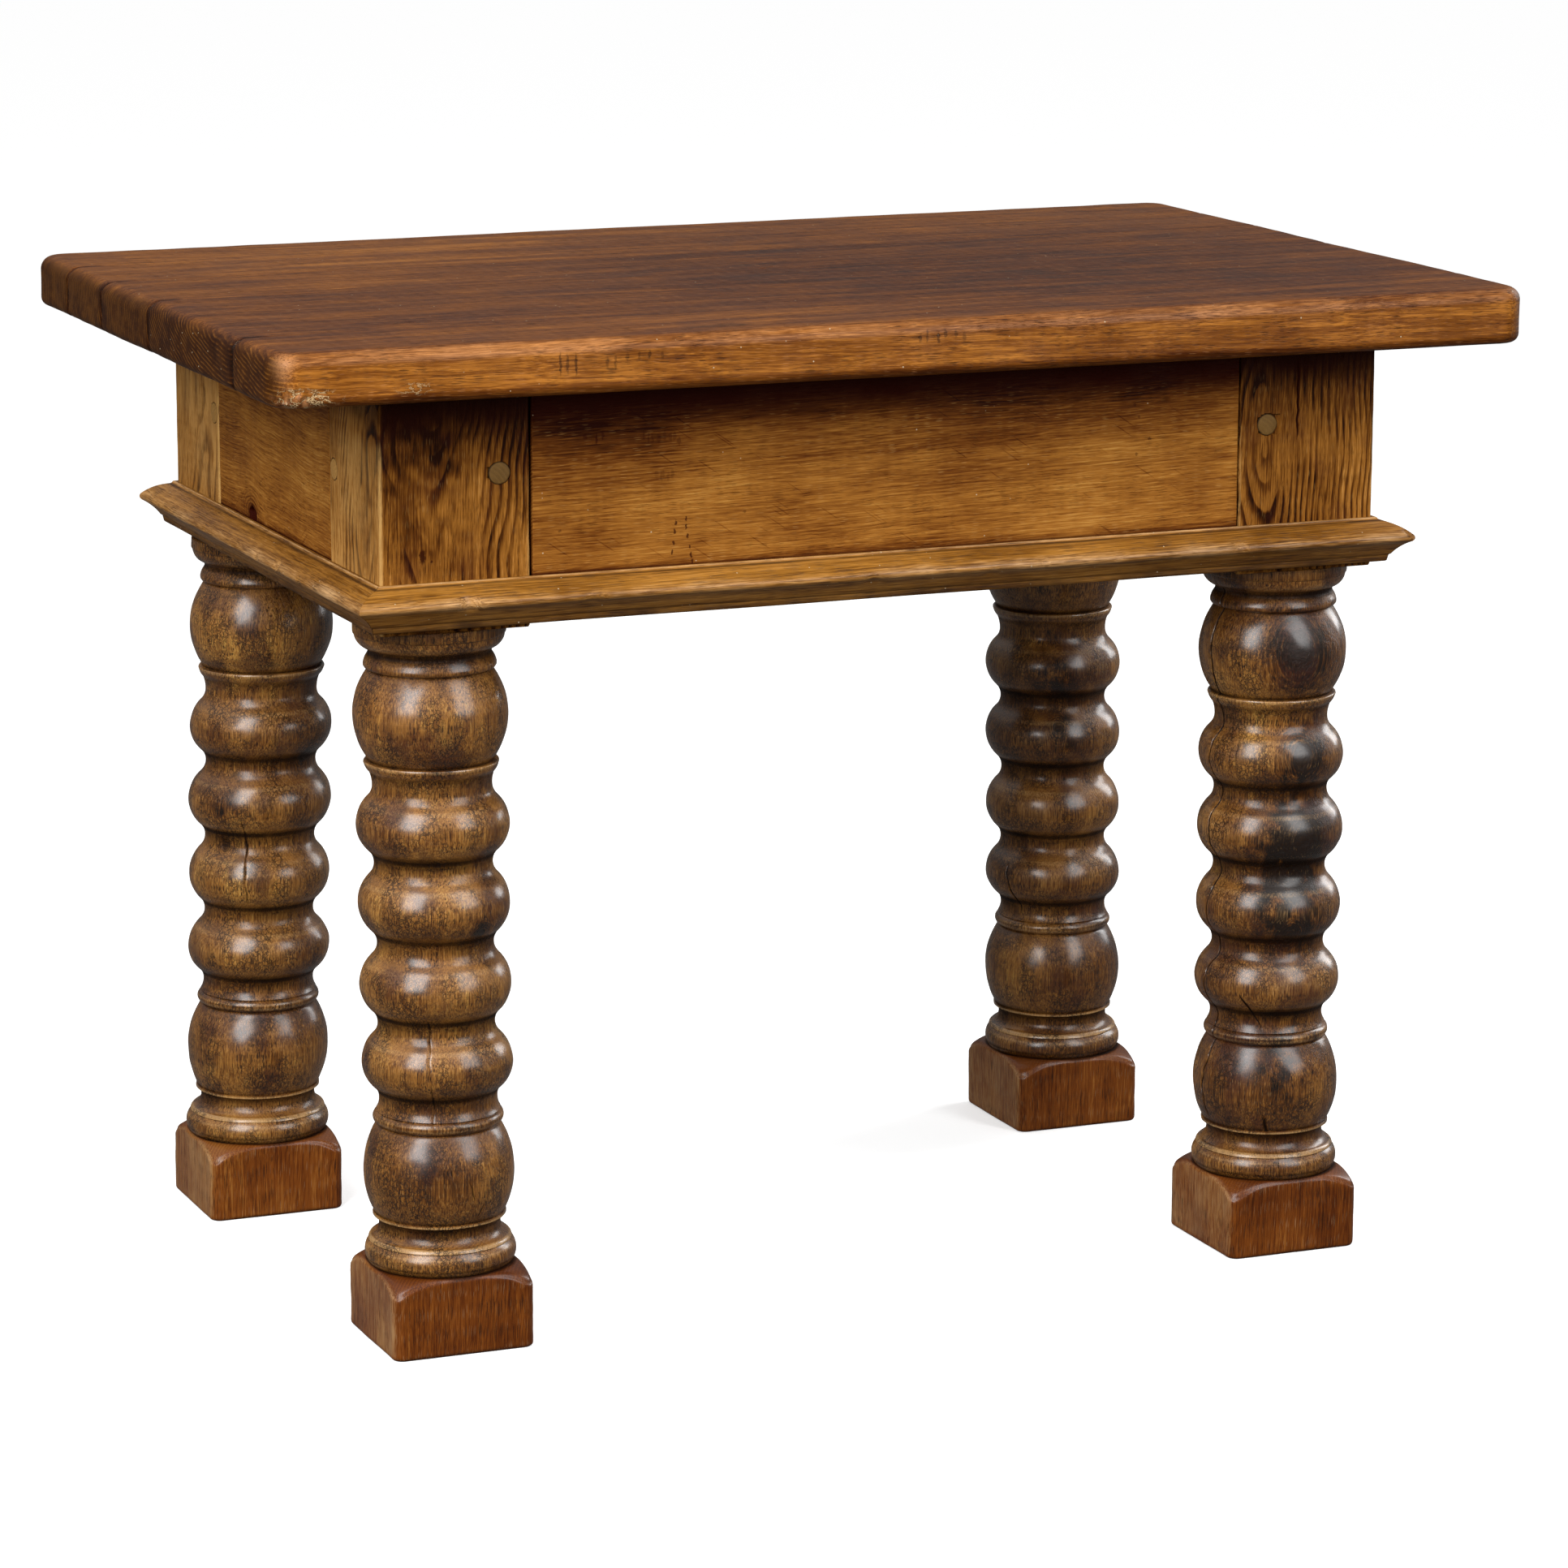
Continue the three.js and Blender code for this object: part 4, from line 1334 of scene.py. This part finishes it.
def moulding(name, quarter, material):
    """One mitred length of the moulding, drawn along the front and turned to its own side."""
    node = f"moulding_{name}"
    low, high = span(node)
    frame_half = -frame_corner()
    if quarter % 2:
        frame_half = frame_half[::-1]
    section = moulding_section(low[2], high[2], 25.0)
    stations = graded(-1, 1, 0.01, 0.02, 0.004)[:, None]
    along = stations * (frame_half[0] + section[:, 0] - 0.2)
    out = np.broadcast_to(-(frame_half[1] + section[:, 0]), along.shape)
    rings = np.stack([along, out, np.broadcast_to(section[:, 1], along.shape)], axis=-1)

    flat = rings.reshape(-1, 3)
    seed = 60 + quarter * 7
    nose = ease(np.abs(flat[:, 2] - (high[2] - 14)), 9, 2)
    nose *= ease(-flat[:, 1] - frame_half[1], 12, 22)
    dull = 0.3 * waves(flat, 90, seed) + 0.12 * waves(flat, 20, seed + 1)
    nicks = np.maximum(waves(flat, 26, seed + 2) - 0.62, 0) * 3.5
    flat[:, 1] += nose * (0.4 - dull + nicks)
    proud = -flat[:, 1] - frame_half[1]
    flat[:, 2] += 0.2 * waves(flat, 130, seed + 3) * ease(proud, 0, 8)
    z = flat[:, 2]
    wear_and_painted_light = nose * (0.35 + 0.15 * waves(flat, 70, seed + 4))
    # The top edge is rubbed pale, and below the nose it darkens downwards: painted shade.
    wear_and_painted_light += 0.5 * ease(z, high[2] - 2, high[2] - 0.6) - 0.66 * ease(z, high[2] - 19, low[2])
    # Darkened where it meets the frame: painted shade.
    wear_and_painted_light -= 0.9 * ease(proud, 2.5, 0.5) * ease(z, MOULDING_TOP - 3, MOULDING_TOP)
    # Darker in the groove below the top edge.
    groove = np.exp(-(((z - (high[2] - 2.4)) / 0.9) ** 2))
    wear_and_painted_light -= 0.7 * groove * ease(proud, 9, 5)

    # The tube is closed across each mitre by a point in the middle of the section.
    out, up = section.mean(0)
    reach = frame_half[0] + out - 0.2
    ends = [[way * reach, -(frame_half[1] + out), up] for way in (-1, 1)]
    points, faces = closed_tube(rings, *ends)
    grain = tree_place(points, 0, (-frame_half[1] + 40, high[2] + 55), (0.004, 0.006), 300 * seed)
    tone = 0.1 * waves(points, 140, seed + 6)
    turn = quarter * math.pi / 2
    cos, sin = round(math.cos(turn)), round(math.sin(turn))
    points = points @ np.array([[cos, sin, 0], [-sin, cos, 0], [0, 0, 1]])
    wear_and_painted_light = np.append(wear_and_painted_light, [0, 0])
    make_piece(node, points, faces, material, quarter % 2, grain, tone, wear_and_painted_light)


# ---------------------------------------- feet, pegs, screws


FOOT_TONES = {"front_left": 0.0, "front_right": 0.04, "back_left": 0.14, "back_right": 0.05}


def foot(name, material):
    """A block whose top corners are turned away, with eased edges."""
    node = f"foot_{name}"
    low, high = span(node)
    middle = (low + high)[:2] / 2
    half = (high - low)[0] / 2
    seed = 200 + sorted(LEG_MARKS).index(name) * 10
    lines = graded(-1, 1, 0.05, 0.16, 0.022) * half
    points, faces = box_grid(lines, lines, graded(0, 1, 0.07, 0.1, 0.025))
    plan, inset, outward = round_plan(points, 0, half, FOOT_CORNER)

    # A sphere centred under the block takes its top corners down.
    reach = np.linalg.norm(plan, axis=1)
    dome = half * math.sqrt(2)
    fall = dome - np.sqrt(np.maximum(dome**2 - np.maximum(reach - half, 0) ** 2, 0))
    fall_at_corner = dome - math.sqrt(dome**2 - (dome - half) ** 2)
    top = high[2] - fall * FOOT_FALL / fall_at_corner
    z = points[:, 2] * top
    rounded_inset = inset.copy()
    round_edge(plan, z, rounded_inset, outward, top, 4.0, -1)
    round_edge(plan, z, rounded_inset, outward, 0.0, 3.0, 1)

    body = np.column_stack([plan + middle, z])
    lump = 0.25 * waves(body, 45, seed) + 0.12 * waves(body, 12, seed + 1)
    body[:, :2] += outward * (ease(inset, 4, 0) * (lump - 0.2))[:, None]
    edge = ease(inset, 5, 0.5) * ease(np.abs(top - z), 5, 0.5)
    corners = ease(reach, half * 1.18, half * 1.36)
    lit_from_left = left_face_lit(body, low[0])
    # Top edges and turned corners paler, rubbed wear and a painted highlight; the left face paler,
    # painted light; darker towards the bottom.
    wear_and_painted_light = 0.15 * edge + 0.15 * corners + 0.35 * lit_from_left - 0.6 * ease(z, 5, 0)
    # Darkened round where the turning stands on the block: painted shade.
    wear_and_painted_light -= 0.9 * ease(reach, 59, 55) * ease(z, high[2] - 4, high[2] - 1)
    tone = FOOT_TONES[name] + 0.1 * waves(body, 60, seed + 2) + 0.25 * lit_from_left
    grain = tree_place(body, 2, middle + np.array([-150, 60]), (0.03, 0.02), seed * 41)
    make_piece(node, body, faces, material, 2, grain, tone, wear_and_painted_light)


def peg(node, outward, tone, material):
    """A hand-cut oak peg whose end stands a little proud of the post."""
    low, high = span(node)
    middle = (low + high) / 2
    out = np.array(outward, float)
    half = (high - low) @ np.abs(out) / 2
    radius = (high - low)[2] / 2
    seed = 300 + sum(map(ord, node)) % 50
    cut = circle(40)
    ragged = 0.02 * waves(cut * 10, 9, seed) + 0.012 * waves(cut * 10, 3, seed + 1)
    cut = radius * cut * (1 + ragged)[:, None]
    side = np.cross((0, 0, 1), out)
    section = cut[:, :1] * side + cut[:, 1:] * np.cross(out, side)
    proud = half + 0.5
    shape = [(0.3, proud), (0.6, proud - 0.05), (0.85, proud - 0.2), (0.96, proud - 0.5)]
    shape += [(1.0, proud - 1.0), (1.0, proud - 4), (0.98, 0), (0.9, 3 - half), (0.7, -half)]
    rings = stacked(section, shape, middle, out)
    points, faces = closed_tube(rings, middle + proud * out, middle - half * out)
    points += np.outer(0.25 * waves(points, 6, seed + 2), out)
    along = int(np.abs(out).argmax())
    across = others(along)
    grain = tree_place(points, along, middle[across] - 14, offset=seed * 53)
    around = np.linalg.norm((points - middle)[:, across], axis=1)
    wear_and_painted_light = 0.15 - 0.9 * ease(around, radius - 1.4, radius)
    make_piece(node, points, faces, material, along, grain, tone, wear_and_painted_light)


def screw(node, material):
    """A countersunk wood screw seen from below, with a slot across its head."""
    low, high = span(node)
    middle = (low + high) / 2
    radius = (high - low)[0] / 2
    tip, head = high[2], low[2]
    shape = [(0.25, tip - 2), (0.5, tip - 6)]
    thread = np.arange(tip - 8, head + 22, -1.2)
    shape += [(0.5 + 0.07 * (i % 2), z) for i, z in enumerate(thread)]
    shape += [(0.55, head + 20), (0.55, head + 3.4), (0.97, head + 0.4), (1.0, head + 0.15)]
    shape += [(0.97, head - 0.05), (0.8, head - 0.1), (0.55, head - 0.1), (0.3, head - 0.1)]
    base = np.array([middle[0], middle[1], 0])
    section = np.column_stack([radius * circle(48), np.zeros(48)])
    rings = stacked(section, shape, base, (0, 0, 1))
    points, faces = closed_tube(rings, [*middle[:2], tip], [*middle[:2], head])
    way = math.radians(sum(map(ord, node)) * 37 % 180)
    across = (points[:, :2] - middle[:2]) @ np.array([math.cos(way), math.sin(way)])
    slot = (np.abs(across) < 0.75) & (points[:, 2] < head + 0.05)
    points[slot, 2] += 1.4
    add_piece(node, "steel", points, faces, [material], 35)


def bearer(node, material):
    """A sawn bearer keeps its CAD shape, and gets wood."""
    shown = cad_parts[node]
    mesh = shown.data
    points = read(mesh.vertices, "co") / MM
    low, high = span(node)
    middle = (low + high) / 2
    grain = tree_place(points, 1, (middle[0] + 60, middle[2] - 90), (0.02, 0.01), 900 + low[0])
    store(mesh, "grain", grain * MM)
    store(mesh, "depth", np.linalg.norm(grain[:, 1:], axis=1))
    store(mesh, "knot", np.full(len(points), NO_KNOT))
    for name in ("tone", "wear_and_painted_light", "ends"):
        store(mesh, name, np.zeros(len(points)))
    for slot in shown.material_slots:
        slot.material = material


# ---------------------------------------- stage


def backdrop():
    """A wide pale floor that rises far away, for the camera alone.

    The table doesn't see it: the light from below and its reflections are the studio's own.
    """
    section = np.column_stack([circle(64), np.zeros(64)])
    rings = stacked(section, ((60, 30), (60, 6), (54, 0)), np.zeros(3), (0, 0, 1))
    faces, ring, _ = ring_sides(*rings.shape[:2])
    faces.append(ring[-1][::-1])
    mesh = bpy.data.meshes.new("floor")
    mesh.from_pydata(rings.reshape(-1, 3).tolist(), [], faces)
    white = Surface(bpy.data.materials.new("floor_white"))
    white.shader({
        "Base Color": (0.9, 0.9, 0.9, 1),
        "Roughness": 0.9,
        "Specular IOR Level": 0.1,
        "Emission Color": (1, 1, 1, 1),
        "Emission Strength": 0.45,
    })
    mesh.materials.append(white.owner)
    sheet = add_object("floor", mesh)
    sheet.visible_diffuse = False
    sheet.visible_glossy = False
    sheet.visible_shadow = False


def panel(name, place, size, brightness):
    """A soft box: a bright rectangle, its size in metres, that faces the table."""
    lamp = bpy.data.lights.new(name, "AREA")
    lamp.shape = "RECTANGLE"
    lamp.size, lamp.size_y = size
    lamp.energy = brightness * math.pi * size[0] * size[1]
    thing = add_object(name, lamp)
    thing.visible_camera = False
    thing.location = Vector(place) * MM
    way = Vector((0, 0, 0.4)) - thing.location
    thing.rotation_euler = way.to_track_quat("-Z", "Y").to_euler()


def studio():
    """A dim room with a pale ceiling, and tall soft boxes to the left, right and back right."""
    scene = bpy.context.scene
    scene.view_settings.view_transform = "Standard"
    scene.world = bpy.data.worlds.new("studio")
    room = Surface(scene.world)
    way = room.new("SeparateXYZ", {0: room.new("TexCoord", {}).outputs["Generated"]})
    levels = ((0, 0.16), (0.46, 0.12), (0.53, 0.09), (0.75, 0.4), (1, 0.95))
    greys = [(place, (level, level, level, 1)) for place, level in levels]
    colour = room.ramp(room.sloped(way.outputs["Z"], 0.5, 0.5), greys)
    room.fill(room.nodes["Background"], {"Color": colour})
    panel("soft_box_left", (-2080, -1570, 1900), (1.2, 2.4), 11.5)
    panel("soft_box_right", (1220, -2300, 1900), (1.2, 2.4), 6.5)
    panel("soft_box_back", (2900, 780, 1500), (0.8, 1.8), 8.5)


def camera():
    lens = bpy.data.cameras.new("camera")
    lens.lens = CAMERA_LENS
    lens.shift_x, lens.shift_y = CAMERA_SHIFT
    lens.clip_end = 200
    right, down, roll = (math.radians(angle) for angle in CAMERA_TURN)
    turn = Matrix.Rotation(-right, 4, "Z") @ Matrix.Rotation(math.pi / 2 - down, 4, "X")
    turn = turn @ Matrix.Rotation(roll, 4, "Z")
    thing = add_object("camera", lens)
    thing.matrix_world = Matrix.Translation(Vector(CAMERA_PLACE) * MM) @ turn
    bpy.context.scene.camera = thing


# ---------------------------------------- the table

camera()
backdrop()
studio()

wood = top_oak()
for count in range(1, BOARDS + 1):
    top_board(count, wood)

wood, head_wood = leg_oak(), post_oak()
for place in LEG_MARKS:
    leg(place, wood, head_wood)

wood = frame_oak()
front_rail("rail_front", -1, wood)
front_rail("rail_back", 1, wood)
end_rail("rail_left", -1, wood)
end_rail("rail_right", 1, wood)

wood = moulding_oak()
for quarter, place in enumerate(("front", "right", "back", "left")):
    moulding(place, quarter, wood)

wood = foot_oak()
for place in LEG_MARKS:
    foot(place, wood)

wood = peg_oak()
for place in LEG_MARKS:
    peg(f"peg_face_{place}", (0, -1 if "front" in place else 1, 0), 0.0, wood)
    peg(f"peg_side_{place}", (-1 if "left" in place else 1, 0, 0), 0.4, wood)

wood = bearer_oak()
steel = screw_steel()
for place in ("left", "right"):
    bearer(f"bearer_{place}", wood)
    for row in range(1, 5):
        screw(f"screw_{place}_{row}", steel)
